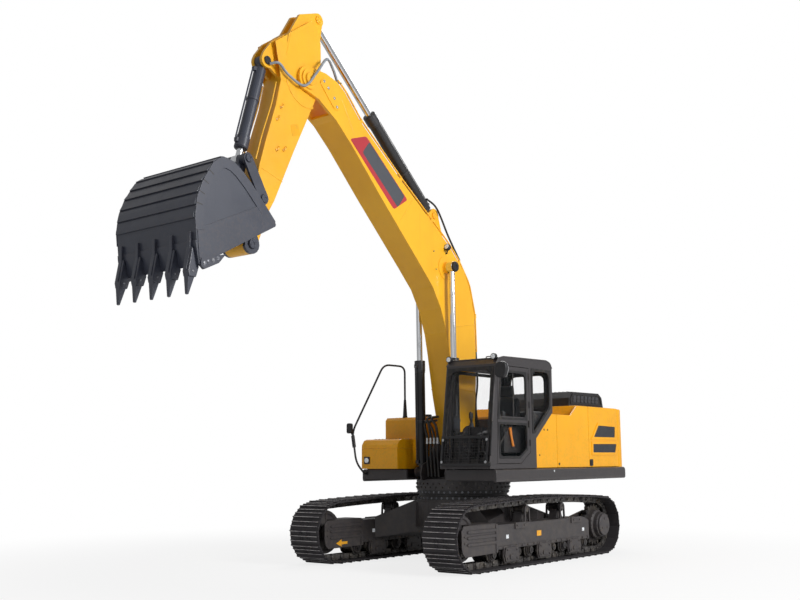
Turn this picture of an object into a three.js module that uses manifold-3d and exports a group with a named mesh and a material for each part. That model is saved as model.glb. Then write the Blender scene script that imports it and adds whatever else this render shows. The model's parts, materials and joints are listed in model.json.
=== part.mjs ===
// Crawler excavator, thirty tonne class, as an assembly of separate solids.
// Millimetres, +Z up. The machine faces -Y, its cab is on +X, the ground is z = 0.
// Places below are written from the slewing axis on the ground; the whole group is
// shifted at the end so that the row's origin is the middle of the base of its box.
import * as THREE from 'three';
import { mergeVertices } from 'three/addons/utils/BufferGeometryUtils.js';
import Module from 'manifold-3d';

const wasm = await Module();
wasm.setup();

// ---------------------------------------------------------------- driving dimensions
const restGap = 0.3;            // between pieces that rest on or butt against each other
const pinGap = 0.5;             // between the faces of two bosses on one pin
const moveGap = 7;              // between a moving piece and its neighbour

const tumblerHalf = 2000;       // slewing axis to idler and to sprocket, along Y
const trackCentre = 1295;       // slewing axis to the middle of a track
const shoeWidth = 600;
const shoeCount = 50;
const grouserHeight = 26;
const shoePlate = 14;
const chainHeight = 92;
const chainWidth = 190;
const endRadius = 486;          // grouser tip radius round idler and sprocket
const trackRise = 62;           // how far the carrier rollers lift the upper run
const trackPeak = 300;          // where along Y the upper run is highest

const frameHalfWidth = 175;     // track frame beam, half its width
const frameBottom = 285;
const frameTop = 640;
const frameFront = -1480;
const frameRear = 1560;
const rollerRadius = 92;
const rollerCount = 9;
const carrierRadius = 62;
const carrierPlaces = [-330, 760];
const guardPlaces = [-900, 60, 1020];
const idlerWidth = 150;
const forkGap = 12;             // from the idler's side to the fork that carries it
const driveInner = 120;         // inner face of the final drive, from the middle of the track
const driveRadius = 245;
const driveFace = trackCentre + 253;   // outer face of the final drive, along X

const carbodyTop = 930;
const carbodyBottom = 520;
const drumRadius = 800;
const ringOuter = 745;
const ringInner = 560;
const ringHeight = 150;
const ringTop = 1110;

const deckBottom = 1250;
const deckTop = 1318;
const skirtTop = 1450;
const deckHalfWidth = 1330;
const skirtDepth = 56;
const deckFrontLeft = -1100;
const deckFrontRight = -950;
const deckRear = 3055;
const recessRear = -560;
const webThick = 26;
const tailRear = 3480;
const tailSide = 3190;
const bodyTop = 2500;
const shoulderTop = 2330;
const panelThick = 40;
const panelGap = 8;

const cabOuter = 1370;
const cabBottom = 1455;
const cabWall = 55;
const glassThick = 6;
const doorThick = 50;

const armHalfWidth = 171;
const armBossHalf = armHalfWidth + moveGap;   // bosses stand out this far so that plates pass clear
const forkInner = armBossHalf + 1;
const forkWall = 46;
const boomHalfWidth = forkInner + forkWall;
const plateThick = 16;
const webInner = boomHalfWidth + moveGap;
const boomEye = 55;             // half the length of a boom cylinder's eye
const boomCylinderRadius = 80;
const cylinderX = webInner + webThick + boomEye + 32;
const recessHalfWidth = cylinderX + boomCylinderRadius + 13;  // deck is open here for the boom
const cabInner = recessHalfWidth + 2;         // cab wall nearest the boom

// pivots, as [Y, Z]
const boomFoot = [-150, 1950];
const boomCylinderFoot = [-680, 1400];
const boomCylinderTop = [-720, 4720];
const armPivot = [-4006, 6998];
const armCylinderFoot = [-850, 5600];
const armCylinderTop = [-3695, 8035];
const bucketCylinderFoot = [-4724, 7089];
const bucketPivot = [-5067, 4418];
const rockerPivot = [-4851, 5073];
const rockerEnd = [-5145, 5566];
const linkPivot = [-5270, 4910];

const bucketHalfWidth = 750;
const bucketSide = 26;
const bucketShell = 22;
const toothCount = 5;
const toothPitch = 325;

const yellow = 0xf7b21c;
const charcoal = 0x474346;
const black = 0x1d1d20;
const steelGrey = 0x40434d;

// ---------------------------------------------------------------- solid helpers
function solid(geometry) {
  const bare = geometry.index ? geometry.toNonIndexed() : geometry.clone();
  bare.deleteAttribute('normal');
  bare.deleteAttribute('uv');
  const merged = mergeVertices(bare, 1e-3);
  return new wasm.Manifold(new wasm.Mesh({
    numProp: 3,
    vertProperties: new Float32Array(merged.attributes.position.array),
    triVerts: new Uint32Array(merged.index.array),
  }));
}

function join(...pieces) {
  return pieces.flat().reduce((whole, piece) => whole.add(piece));
}

function cut(body, ...tools) {
  return tools.flat().reduce((rest, tool) => rest.subtract(tool), body);
}

// a closed shape without the points that lie on the straight line between their neighbours
function outline(points) {
  const corners = points.filter(([u, v], i) => {
    const [u0, v0] = points[(i + points.length - 1) % points.length];
    const [u1, v1] = points[(i + 1) % points.length];
    return Math.abs((u - u0) * (v1 - v) - (v - v0) * (u1 - u)) > 1;
  });
  return new THREE.Shape(corners.map(([u, v]) => new THREE.Vector2(u, v)));
}

function extruded(points, depth) {
  return new THREE.ExtrudeGeometry(outline(points), { depth, bevelEnabled: false, steps: 1 });
}

const alongX = new THREE.Matrix4().set(0, 0, 1, 0, 1, 0, 0, 0, 0, 1, 0, 0, 0, 0, 0, 1);
const alongY = new THREE.Matrix4().set(1, 0, 0, 0, 0, 0, -1, 0, 0, 1, 0, 0, 0, 0, 0, 1);

// outline in Y and Z, between two places along X
function slabX(points, x0, x1) {
  return solid(extruded(points, x1 - x0).applyMatrix4(alongX).translate(x0, 0, 0));
}

// outline in X and Z, between two places along Y
function slabY(points, y0, y1) {
  return solid(extruded(points, y1 - y0).applyMatrix4(alongY).translate(0, y1, 0));
}

// outline in X and Y, between two heights
function slabZ(points, z0, z1) {
  return solid(extruded(points, z1 - z0).translate(0, 0, z0));
}

function block(x0, x1, y0, y1, z0, z1) {
  const box = new THREE.BoxGeometry(x1 - x0, y1 - y0, z1 - z0);
  return solid(box.translate((x0 + x1) / 2, (y0 + y1) / 2, (z0 + z1) / 2));
}

function barX([y, z], radius, x0, x1, sides = 24) {
  const bar = new THREE.CylinderGeometry(radius, radius, x1 - x0, sides);
  return solid(bar.rotateZ(-Math.PI / 2).translate((x0 + x1) / 2, y, z));
}

function barZ([x, y], radius, z0, z1, sides = 24) {
  const bar = new THREE.CylinderGeometry(radius, radius, z1 - z0, sides);
  return solid(bar.rotateX(Math.PI / 2).translate(x, y, (z0 + z1) / 2));
}

// a turned piece: profile of [radius, distance] pairs round the line from one pivot to another
function turned(profile, x, from, to, sides = 20) {
  const lathe = new THREE.LatheGeometry(profile.map(([r, d]) => new THREE.Vector2(r, d)), sides);
  const lean = Math.atan2(to[1] - from[1], to[0] - from[0]);
  return solid(lathe.rotateX(lean).translate(x, from[0], from[1]));
}

function arc([y, z], radius, fromDeg, toDeg, steps) {
  const points = [];
  for (let i = 0; i <= steps; i += 1) {
    const angle = THREE.MathUtils.degToRad(fromDeg + ((toDeg - fromDeg) * i) / steps);
    points.push([y + radius * Math.cos(angle), z + radius * Math.sin(angle)]);
  }
  return points;
}

function gapBetween(from, to) {
  return Math.hypot(to[0] - from[0], to[1] - from[1]);
}

// the same outline moved inwards by a wall thickness, corner by corner
function inset(points, wall) {
  const flat = outline(points);
  const turn = THREE.ShapeUtils.isClockWise(flat.getPoints()) ? -1 : 1;
  const edges = points.map((point, i) => {
    const next = points[(i + 1) % points.length];
    const length = gapBetween(point, next);
    const normal = [(-turn * (next[1] - point[1])) / length, (turn * (next[0] - point[0])) / length];
    return { normal, distance: normal[0] * point[0] + normal[1] * point[1] + wall };
  });
  return points.map((_, i) => {
    const before = edges[(i + points.length - 1) % points.length];
    const after = edges[i];
    const across = before.normal[0] * after.normal[1] - before.normal[1] * after.normal[0];
    return [
      (before.distance * after.normal[1] - after.distance * before.normal[1]) / across,
      (after.distance * before.normal[0] - before.distance * after.normal[0]) / across,
    ];
  });
}

function mirrored(points) {
  return points.map(([u, v]) => [-u, v]).reverse();
}

// ---------------------------------------------------------------- scene graph
const machine = new THREE.Group();

function add(name, body, colour, roughness = 0.6, metalness = 0.1) {
  const made = body.getMesh();
  const geometry = new THREE.BufferGeometry();
  geometry.setAttribute('position', new THREE.BufferAttribute(new Float32Array(made.vertProperties), 3));
  geometry.setIndex(new THREE.BufferAttribute(new Uint32Array(made.triVerts), 1));
  const material = new THREE.MeshStandardMaterial({ color: colour, roughness, metalness });
  const mesh = new THREE.Mesh(geometry, material);
  mesh.name = name;
  machine.add(mesh);
}

// left is +X, right is -X
const sides = [['left', 1], ['right', -1]];

function between(side, inner, outer) {
  return side > 0 ? [inner, outer] : [-outer, -inner];
}

// ---------------------------------------------------------------- tracks
const pathRadius = endRadius - grouserHeight - shoePlate;
const pathBottom = grouserHeight + shoePlate;

function upperRun(y) {
  const reach = tumblerHalf + (y < trackPeak ? trackPeak : -trackPeak);
  return endRadius + pathRadius + trackRise * (1 - ((y - trackPeak) / reach) ** 2);
}

// the inner faces of the shoe plates, as a closed line in Y and Z
function trackPath() {
  const upper = [];
  for (let i = 1; i < 40; i += 1) {
    const y = tumblerHalf - (2 * tumblerHalf * i) / 40;
    upper.push([y, upperRun(y)]);
  }
  return [
    [-tumblerHalf, pathBottom],
    ...arc([tumblerHalf, endRadius], pathRadius, -90, 90, 40),
    ...upper,
    ...arc([-tumblerHalf, endRadius], pathRadius, 90, 270, 40),
  ];
}

const path = trackPath();
const lengths = path.slice(1).map((point, i) => gapBetween(path[i], point));
const shoePitch = lengths.reduce((sum, length) => sum + length, 0) / shoeCount;

// the path walked in equal steps, one for each shoe
function shoeJoints() {
  const joints = [];
  let leg = 0;
  let walked = 0;
  for (let i = 0; i < shoeCount; i += 1) {
    const target = shoePitch * (i + 0.5);
    while (walked + lengths[leg] < target) {
      walked += lengths[leg];
      leg += 1;
    }
    const share = (target - walked) / lengths[leg];
    joints.push([0, 1].map((k) => path[leg][k] + share * (path[leg + 1][k] - path[leg][k])));
  }
  return joints;
}

// a line that follows the shoes: pairs of [share of the shoe, height above its inner face]
function shoeLine(joints, steps) {
  return joints.flatMap((joint, i) => {
    const next = joints[(i + 1) % joints.length];
    const run = [next[0] - joint[0], next[1] - joint[1]];
    const length = Math.hypot(...run);
    return steps.map(([share, height]) => [
      joint[0] + share * run[0] + (height * run[1]) / length,
      joint[1] + share * run[1] - (height * run[0]) / length,
    ]);
  });
}

function track(side) {
  const joints = shoeJoints();
  const tip = shoePlate + grouserHeight;
  const tread = shoeLine(joints, [
    [0.06, shoePlate], [0.1, tip], [0.2, tip], [0.26, shoePlate], [0.96, shoePlate],
  ]);
  const shoes = [side * trackCentre - shoeWidth / 2, side * trackCentre + shoeWidth / 2];
  const chain = [side * trackCentre - chainWidth / 2, side * trackCentre + chainWidth / 2];
  const chainOuter = shoeLine(joints, [[0.1, shoePlate / 2], [0.9, shoePlate / 2]]);
  const chainInner = shoeLine(joints, [[0.16, -chainHeight], [0.84, -chainHeight]]);
  const band = cut(slabX(tread, ...shoes), slabX(joints, shoes[0] - 1, shoes[1] + 1));
  return join(band, cut(slabX(chainOuter, ...chain), slabX(chainInner, chain[0] - 1, chain[1] + 1)));
}

const chainFace = pathRadius * Math.cos(shoePitch / 2 / pathRadius) - chainHeight - restGap;
const rollerHeight = pathBottom + chainHeight + restGap + rollerRadius;

function trackFrame(side) {
  const c = side * trackCentre;
  const beam = slabX([
    [frameFront, frameBottom], [frameRear, frameBottom], [frameRear, frameTop - 60],
    [frameRear - 160, frameTop], [frameFront + 260, frameTop], [frameFront, frameTop - 50],
  ], c - frameHalfWidth, c + frameHalfWidth);
  const forks = [-1, 1].map((hand) => {
    const inner = c + hand * (idlerWidth / 2 + forkGap);
    const outer = c + hand * frameHalfWidth;
    return slabX([
      [frameFront + 60, frameBottom], [frameFront + 60, frameTop - 40], [-tumblerHalf + 40, frameTop - 20],
      ...arc([-tumblerHalf, endRadius], 150, 90, 270, 8), [-tumblerHalf + 60, frameBottom],
    ], Math.min(inner, outer), Math.max(inner, outer));
  });
  const plate = between(side, trackCentre - frameHalfWidth, trackCentre - driveInner);
  const mount = slabX([
    [frameRear - 120, frameBottom], ...arc([tumblerHalf, endRadius], driveRadius - 10, -60, 90, 8),
    [frameRear - 120, frameTop - 20],
  ], ...plate);
  const rollers = Array.from({ length: rollerCount }, (_, i) => {
    const y = frameFront + 120 + ((frameRear - frameFront - 280) * i) / (rollerCount - 1);
    return barX([y, rollerHeight], rollerRadius, c - 155, c + 155, 14);
  });
  const carriers = carrierPlaces.map((y) => {
    const z = upperRun(y) - chainHeight - carrierRadius - 4;
    const arch = [[y - 110, frameTop - 20], [y + 110, frameTop - 20], [y + 45, z], [y - 45, z]];
    const bracket = slabX(arch, c - 70, c + 70);
    return join(bracket, barX([y, z], carrierRadius, c - 95, c + 95, 14));
  });
  const guards = guardPlaces.flatMap((y) => [-1, 1].map((hand) => {
    const inner = c + hand * (frameHalfWidth - 8);
    const outer = c + hand * (frameHalfWidth + plateThick);
    const shape = [
      [y - 230, 190], [y - 190, 85], [y + 190, 85], [y + 230, 190], [y + 190, 330], [y - 190, 330],
    ];
    return slabX(shape, Math.min(inner, outer), Math.max(inner, outer));
  }));
  return join(beam, forks, mount, rollers, carriers, guards);
}

function idler(side) {
  const c = side * trackCentre;
  const rim = barX([-tumblerHalf, endRadius], chainFace, c - 42, c + 42, 32);
  const hubHalf = idlerWidth / 2 + forkGap - restGap;
  const hub = barX([-tumblerHalf, endRadius], 95, c - hubHalf, c + hubHalf, 20);
  return join(rim, hub);
}

function sprocket(side) {
  const c = side * trackCentre;
  const wheel = barX([tumblerHalf, endRadius], chainFace, c - 40, c + 40, 32);
  const reach = between(side, trackCentre - driveInner + restGap, driveFace);
  const drive = barX([tumblerHalf, endRadius], driveRadius, ...reach, 28);
  return join(wheel, drive);
}

for (const [name, side] of sides) {
  add(`track_${name}`, track(side), 0x39363a, 0.75, 0.4);
  add(`track_frame_${name}`, trackFrame(side), charcoal);
  add(`idler_${name}`, idler(side), charcoal);
  add(`final_drive_${name}`, sprocket(side), charcoal);
}

// ---------------------------------------------------------------- carbody and slewing ring
function carbody() {
  const legProfile = [
    [200, 520], [200, carbodyTop], [820, carbodyTop], [1500, 660], [1500, 330], [1050, 400],
  ];
  const legs = [33, 147, 213, 327].map((turn) => {
    const leg = extruded(legProfile, 380).applyMatrix4(alongY).translate(0, 190, 0);
    return solid(leg.rotateZ(THREE.MathUtils.degToRad(turn)));
  });
  const reach = trackCentre - frameHalfWidth - restGap;
  const outside = [block(reach, 2600, -2600, 2600, 0, 1200), block(-2600, -reach, -2600, 2600, 0, 1200)];
  const drum = barZ([0, 0], drumRadius, carbodyBottom, carbodyTop, 36);
  const seat = barZ([0, 0], ringOuter + 20, carbodyTop - 10, ringTop - ringHeight - restGap, 36);
  return join(cut(join(drum, legs), outside), seat);
}

add('carbody', carbody(), black);
add('slewing_ring', cut(
  barZ([0, 0], ringOuter, ringTop - ringHeight, ringTop, 48),
  barZ([0, 0], ringInner, ringTop - ringHeight - 10, ringTop + 10, 48),
), black, 0.5, 0.5);

// ---------------------------------------------------------------- revolving frame
const footEar = 34;
const panelOuter = deckHalfWidth;
const panelInner = deckHalfWidth - panelThick;
const hoodThick = 40;
const hoodTop = bodyTop + 7;
const bulkheadFront = 795;
const bulkheadRear = 835;
const postFront = 1900;
const postRear = 1976;
const tankFront = -410;
const tankSplit = 560;
const tankRear = 1150;
const tankInner = 480;
const tankTop = 2314;

function revolvingFrame() {
  const turntable = cut(
    barZ([0, 0], ringOuter + 25, ringTop + pinGap, deckBottom + 40, 48),
    barZ([0, 0], ringInner - 20, ringTop - 10, deckBottom + 60, 48),
  );
  const deck = slabZ([
    [-deckHalfWidth, deckFrontRight], [-recessHalfWidth, deckFrontRight], [-recessHalfWidth, recessRear],
    [recessHalfWidth, recessRear], [recessHalfWidth, deckFrontLeft], [deckHalfWidth, deckFrontLeft],
    [deckHalfWidth, deckRear], [-deckHalfWidth, deckRear],
  ], deckBottom + 30, deckTop);
  const webShape = [
    [-820, deckBottom + 20], [-845, 1380], [-800, 1520], [-640, 1580], [-400, 1960],
    ...arc(boomFoot, 205, 150, 30, 6), [330, 1700], [900, 1480], [1900, 1400], [1900, deckBottom + 32],
  ];
  const webs = sides.flatMap(([, side]) => {
    const ear = [...arc(boomCylinderFoot, 88, 60, 240, 6), [-470, deckBottom + 34], [-470, 1440]];
    const earInner = cylinderX + boomEye + pinGap;
    return [
      slabX(webShape, ...between(side, webInner, webInner + webThick)),
      barX(boomFoot, 125, ...between(side, boomHalfWidth + pinGap, webInner + webThick)),
      barX(boomCylinderFoot, 84, ...between(side, webInner + 10, cylinderX - boomEye - pinGap)),
      slabX(ear, ...between(side, earInner, earInner + footEar)),
    ];
  });
  const mounts = [[560, -950], [1240, -950], [560, 20], [1240, 20]]
    .map(([x, y]) => barZ([x, y], 60, deckTop - 10, cabBottom - restGap, 14));
  const posts = sides.flatMap(([, side]) => {
    const width = between(side, panelInner - 75, panelInner - restGap);
    const top = hoodTop - hoodThick - restGap;
    return [
      block(...width, postFront, postRear, deckTop - 10, top),
      block(...width, deckRear - 50, deckRear - 10, deckTop - 10, top),
    ];
  });
  const bulkhead = block(-tankInner + 10, panelInner - restGap, bulkheadFront, bulkheadRear,
    deckTop - 10, shoulderTop - hoodThick - restGap);
  const sill = (x0, x1, front) => block(x0, x1, front, front + 40, deckTop - 20, skirtTop - 10);
  const frontLeft = sill(recessHalfWidth + 12, deckHalfWidth, deckFrontLeft);
  const frontRight = sill(-deckHalfWidth, -recessHalfWidth - 12, deckFrontRight);
  return join(turntable, deck, webs, mounts, posts, bulkhead, frontLeft, frontRight);
}

add('revolving_frame', revolvingFrame(), charcoal);

function skirt(side, front) {
  const inner = deckHalfWidth + restGap;
  const outer = deckHalfWidth + skirtDepth;
  const section = [
    [inner, deckBottom + 4], [outer - 26, deckBottom], [outer - 6, deckBottom + 12],
    [outer, deckBottom + 46], [outer, skirtTop - 56], [outer - 8, skirtTop - 18],
    [outer - 34, skirtTop], [inner, skirtTop],
  ];
  return slabY(side > 0 ? section : mirrored(section), front, tailSide);
}

add('side_skirt_left', skirt(1, deckFrontLeft - 10), charcoal);
add('side_skirt_right', skirt(-1, deckFrontRight), charcoal);

function counterweight() {
  const half = deckHalfWidth - 1;
  const rear = [];
  for (let i = 0; i <= 20; i += 1) {
    const angle = (Math.PI * i) / 20;
    const across = Math.sign(Math.cos(angle)) * Math.abs(Math.cos(angle)) ** 0.55;
    rear.push([half * across, tailSide - 60 + (tailRear - tailSide + 60) * Math.sin(angle) ** 0.9]);
  }
  rear[20][0] = -half;
  const plan = [[half, deckRear + restGap], ...rear, [-half, deckRear + restGap]];
  return slabZ(plan, deckBottom + 2, bodyTop - 6);
}

add('counterweight', counterweight(), yellow);
add('engine_block', block(-620, 700, 1990, 2900, deckTop + restGap, 2200), 0x6d6f70, 0.5, 0.6);

// ---------------------------------------------------------------- tanks, boxes, panels and doors
const panelBottom = skirtTop + panelGap;
const shoulderFront = 1330;
const shoulderRear = 1560;

const tankProfile = (front, rear) => [
  [front, deckTop + restGap], [rear, deckTop + restGap], [rear, tankTop],
  [front + 50, tankTop], [front, tankTop - 45],
];
add('fuel_tank', slabX(tankProfile(tankFront, tankSplit), -panelOuter + 6, -tankInner), yellow);
add('hydraulic_tank', slabX(
  tankProfile(tankSplit + panelGap, tankRear), -panelOuter + 6, -tankInner,
), yellow);

const boxOuter = [-panelOuter + 4, -565];
const boxFront = -1042;
const boxRear = tankFront - 15;
const boxSplit = 1790;
const boxTop = 1940;
const boxWall = 30;

function toolbox() {
  const shell = block(...boxOuter, boxFront, boxRear, skirtTop + 6, boxSplit);
  const room = block(boxOuter[0] + boxWall, boxOuter[1] - boxWall, boxFront + boxWall, boxRear - boxWall,
    skirtTop + 6 + boxWall, boxSplit + 10);
  const step = block(boxOuter[0], boxOuter[1], deckFrontRight + 60, boxRear,
    deckTop + restGap, skirtTop + 20);
  return join(cut(shell, room), step);
}

function toolboxLid() {
  const profile = [
    [boxFront, boxSplit + restGap], [boxFront + 6, boxTop - 90], [boxFront + 60, boxTop - 20],
    [boxFront + 130, boxTop], [boxRear, boxTop], [boxRear, boxSplit + restGap],
  ];
  const room = inset(profile, boxWall);
  const inner = room.map(([y, z]) => [y, z < boxSplit + boxWall + 10 ? boxSplit - 20 : z]);
  return cut(slabX(profile, ...boxOuter), slabX(inner, boxOuter[0] + boxWall, boxOuter[1] - boxWall));
}

add('toolbox', toolbox(), yellow);
add('toolbox_lid', toolboxLid(), yellow);

const diagonalLow = [135, 1915];
const diagonalHigh = [672, shoulderTop];
add('side_panel_left', slabX([
  [diagonalLow[0], panelBottom], diagonalLow, diagonalHigh,
  [bulkheadRear - panelGap, shoulderTop], [bulkheadRear - panelGap, panelBottom],
], panelInner, panelOuter), yellow);

function frontDoor(side, front) {
  const rear = postFront + 34;
  return slabX([
    [front, panelBottom], [front, shoulderTop], [shoulderFront, shoulderTop],
    [shoulderRear, bodyTop], [rear, bodyTop], [rear, panelBottom],
  ], ...between(side, panelInner, panelOuter));
}

function rearDoor(side) {
  const front = postFront + 34 + panelGap;
  const rear = deckRear - panelGap;
  return slabX([[front, panelBottom], [front, bodyTop], [rear, bodyTop], [rear, panelBottom]],
    ...between(side, panelInner, panelOuter));
}

add('radiator_door_left', frontDoor(1, bulkheadRear), yellow);
add('engine_door_left', rearDoor(1), yellow);
add('pump_door_right', frontDoor(-1, tankRear + panelGap), yellow);
add('engine_door_right', rearDoor(-1), yellow);

const hoodHalf = panelInner - panelGap;
const hoodFront = 1500;
const hoodRear = deckRear - panelGap;
const coverTop = shoulderTop;
const coverRear = hoodFront - panelGap - 5;

add('front_cover', slabZ([
  [-hoodHalf, tankRear + panelGap], [-tankInner + 12, tankRear + panelGap],
  [-tankInner + 12, bulkheadFront], [hoodHalf, bulkheadFront],
  [hoodHalf, coverRear], [-hoodHalf, coverRear],
], coverTop - hoodThick, coverTop), yellow);

add('engine_hood', slabX([
  [hoodFront, coverTop - 6], [hoodFront + 60, hoodTop], [hoodRear, hoodTop],
  [hoodRear, hoodTop - hoodThick], [hoodFront + 90, hoodTop - hoodThick], [hoodFront + 45, coverTop - 6],
], -hoodHalf, hoodHalf), yellow);

add('louvre_box', slabX([
  [1640, hoodTop + restGap], [1660, bodyTop + 150], [1760, bodyTop + 262], [2760, bodyTop + 272],
  [2880, bodyTop + 200], [2930, hoodTop + restGap],
], -560, 1120), black);

// ---------------------------------------------------------------- cab
const cabProfile = [
  [-1250, cabBottom], [-1030, 3050], [-960, 3135], [-830, 3168], [480, 3195], [600, 3162],
  [655, 3080], [645, 2355], [103, 1922], [103, cabBottom],
];
const pillarFront = -1060;      // rear edge of the front pillar at sill height
const windowFoot = 1560;
const windowHead = 3010;
const doorOutline = [
  [pillarFront + 20, 1535], [-371, 1535], [-90, 1705], [-90, 3030], [-935, 3030], [-1000, 2900],
];
const doorLip = 24;
const lipThick = 7;

// the front face of the cab at a height, from the cab's outline
function cabFace(z) {
  const [low, high] = cabProfile;
  return low[0] + ((high[0] - low[0]) * (z - low[1])) / (high[1] - low[1]);
}

const rearQuarter = [[-5, 2010], [-5, 3030], [575, 3030], [570, 2420], [60, 2010]];
const rightOpening = [[-1080, 1620], [-920, 3010], [570, 3010], [570, 2420], [-20, 1950], [-20, 1620]];
const rearOpening = { margin: 60, sill: 2440, head: 3010, glassFront: 618 };
const roofOpening = { margin: 130, front: -650, rear: 50, glassBottom: 3142, glassThick: 8 };

function cabShell() {
  const outer = slabX(cabProfile, cabInner, cabOuter);
  const room = slabX(inset(cabProfile, cabWall), cabInner + cabWall, cabOuter - cabWall);
  const inside = [cabInner + cabWall, cabOuter - cabWall];
  const windscreen = slabX([
    [cabFace(windowFoot) - 60, windowFoot], [cabFace(windowFoot) + 90, windowFoot],
    [cabFace(windowHead) + 90, windowHead], [cabFace(windowHead) - 60, windowHead],
  ], ...inside);
  const doorway = slabX(inset(doorOutline, -moveGap), cabOuter - doorThick, cabOuter + 10);
  const doorHole = slabX(inset(doorOutline, doorLip), cabOuter - cabWall - 10, cabOuter + 10);
  const quarterWindow = slabX(rearQuarter, cabOuter - cabWall - 10, cabOuter + 10);
  const rightWindow = slabX(rightOpening, cabInner - 10, cabInner + cabWall + 10);
  const rearWindow = block(inside[0] + rearOpening.margin, inside[1] - rearOpening.margin,
    560, 720, rearOpening.sill, rearOpening.head);
  const roofHatch = block(inside[0] + roofOpening.margin, inside[1] - roofOpening.margin,
    roofOpening.front, roofOpening.rear, 3080, 3260);
  return cut(outer, room, windscreen, doorway, doorHole, quarterWindow, rightWindow, rearWindow, roofHatch);
}

add('cab_shell', cabShell(), charcoal);

const doorPanes = [
  [[-1010, 2250], [-918, 2965], [-155, 2965], [-155, 2250]],
  [[-985, 1610], [-1010, 2150], [-155, 2150], [-155, 1745], [-392, 1610]],
];

function cabDoor() {
  const leaf = slabX(doorOutline, cabOuter - doorThick + restGap, cabOuter);
  return cut(leaf, doorPanes.map((pane) => slabX(pane, cabOuter - doorThick - 5, cabOuter + 5)));
}

add('cab_door', cabDoor(), charcoal);

const glassBlue = 0x9fb4bd;

function pane(points, middle) {
  return slabX(inset(points, restGap), middle - glassThick / 2, middle + glassThick / 2);
}

add('door_glass_upper', pane(doorPanes[0], cabOuter - doorThick / 2), glassBlue, 0.1);
add('door_glass_lower', pane(doorPanes[1], cabOuter - doorThick / 2), glassBlue, 0.1);
add('quarter_glass', pane(rearQuarter, cabOuter - cabWall / 2), glassBlue, 0.1);
add('right_glass', pane(rightOpening, cabInner + cabWall / 2), glassBlue, 0.1);

function rearGlass() {
  const edge = cabWall + rearOpening.margin + restGap;
  return block(cabInner + edge, cabOuter - edge,
    rearOpening.glassFront, rearOpening.glassFront + glassThick,
    rearOpening.sill + restGap, rearOpening.head - restGap);
}

function roofGlass() {
  const edge = cabWall + roofOpening.margin + restGap;
  return block(cabInner + edge, cabOuter - edge, roofOpening.front + restGap, roofOpening.rear - restGap,
    roofOpening.glassBottom, roofOpening.glassBottom + roofOpening.glassThick);
}

add('rear_glass', rearGlass(), glassBlue, 0.1);
add('roof_glass', roofGlass(), glassBlue, 0.1);
add('windscreen', slabX([
  [cabFace(windowFoot) + 22, windowFoot + restGap],
  [cabFace(windowFoot) + 22 + glassThick, windowFoot + restGap],
  [cabFace(windowHead) + 22 + glassThick, windowHead - restGap],
  [cabFace(windowHead) + 22, windowHead - restGap],
], cabInner + cabWall + restGap, cabOuter - cabWall - restGap), glassBlue, 0.1);

const seatX = [cabInner + 200, cabOuter - 210];
const floor = cabBottom + cabWall;

function seat() {
  const cushion = block(...seatX, -560, -30, 1870, 2000);
  const back = slabX([[-120, 1990], [10, 1990], [100, 2600], [-10, 2600]], ...seatX);
  const headrest = slabX([[0, 2590], [80, 2590], [110, 2790], [20, 2790]], seatX[0] + 130, seatX[1] - 130);
  return join(cushion, back, headrest);
}

function seatConsole() {
  const base = block(seatX[0] + 60, seatX[1] - 60, -490, -70, floor + restGap, 1870 - restGap);
  const arms = [[seatX[0] - 80, seatX[0] - 8], [seatX[1] + 8, seatX[1] + 80]].flatMap(([x0, x1]) => [
    block(x0, x1, -650, -30, 1700, 2110),
    barZ([(x0 + x1) / 2, -590], 18, 2100, 2290, 10),
    barZ([(x0 + x1) / 2, -590], 30, 2250, 2330, 10),
  ]);
  const bridge = block(seatX[0] - 80, seatX[1] + 80, -470, -90, 1700, 1760);
  return join(base, bridge, arms);
}

add('operator_seat', seat(), 0x232327, 0.9, 0);
add('seat_console', seatConsole(), black);

function frontGuard() {
  const thick = 28;
  const stand = 16;
  const low = 1500;
  const high = 1955;
  const face = (z, off) => [cabFace(z) - off, z];
  const width = [cabInner + 25, cabOuter - 35];
  const frame = slabX([
    face(low, stand + thick), face(low, stand), face(high, stand), face(high, stand + thick),
  ], ...width);
  const step = 35;
  const field = slabX([
    face(low + step, stand + thick + 5), face(low + step, stand - 5),
    face(high - step, stand - 5), face(high - step, stand + thick + 5),
  ], width[0] + step, width[1] - step);
  const bars = [0.2, 0.4, 0.6, 0.8].map((share) => {
    const x = width[0] + share * (width[1] - width[0]);
    return slabX([
      face(low, stand + 20), face(low, stand + 4), face(high, stand + 4), face(high, stand + 20),
    ], x - 7, x + 7);
  });
  const studs = [cabInner + 60, cabOuter - 70].flatMap((x) => [low + 16, high - 16].map((z) => slabX([
    [cabFace(z) - stand - 8, z - 14], [cabFace(z - 14) - restGap, z - 14],
    [cabFace(z + 14) - restGap, z + 14], [cabFace(z) - stand - 8, z + 14],
  ], x - 14, x + 14)));
  return join(cut(frame, field), bars, studs);
}

add('front_guard', frontGuard(), black);

// ---------------------------------------------------------------- handrail
const railRadius = 17;
const railRoot = -deckHalfWidth + 34;         // where the rail leaves the front of the deck

function tubeThrough(points, radius) {
  const path = new THREE.CurvePath();
  points.slice(1).forEach((point, i) => {
    path.add(new THREE.LineCurve3(new THREE.Vector3(...points[i]), new THREE.Vector3(...point)));
  });
  const section = new THREE.Shape(arc([0, 0], radius, 0, 315, 7).map(([u, v]) => new THREE.Vector2(u, v)));
  return path.curves.map((line) => {
    const bar = new THREE.ExtrudeGeometry(section, { extrudePath: line, steps: 1, bevelEnabled: false });
    return solid(bar);
  });
}

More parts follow.
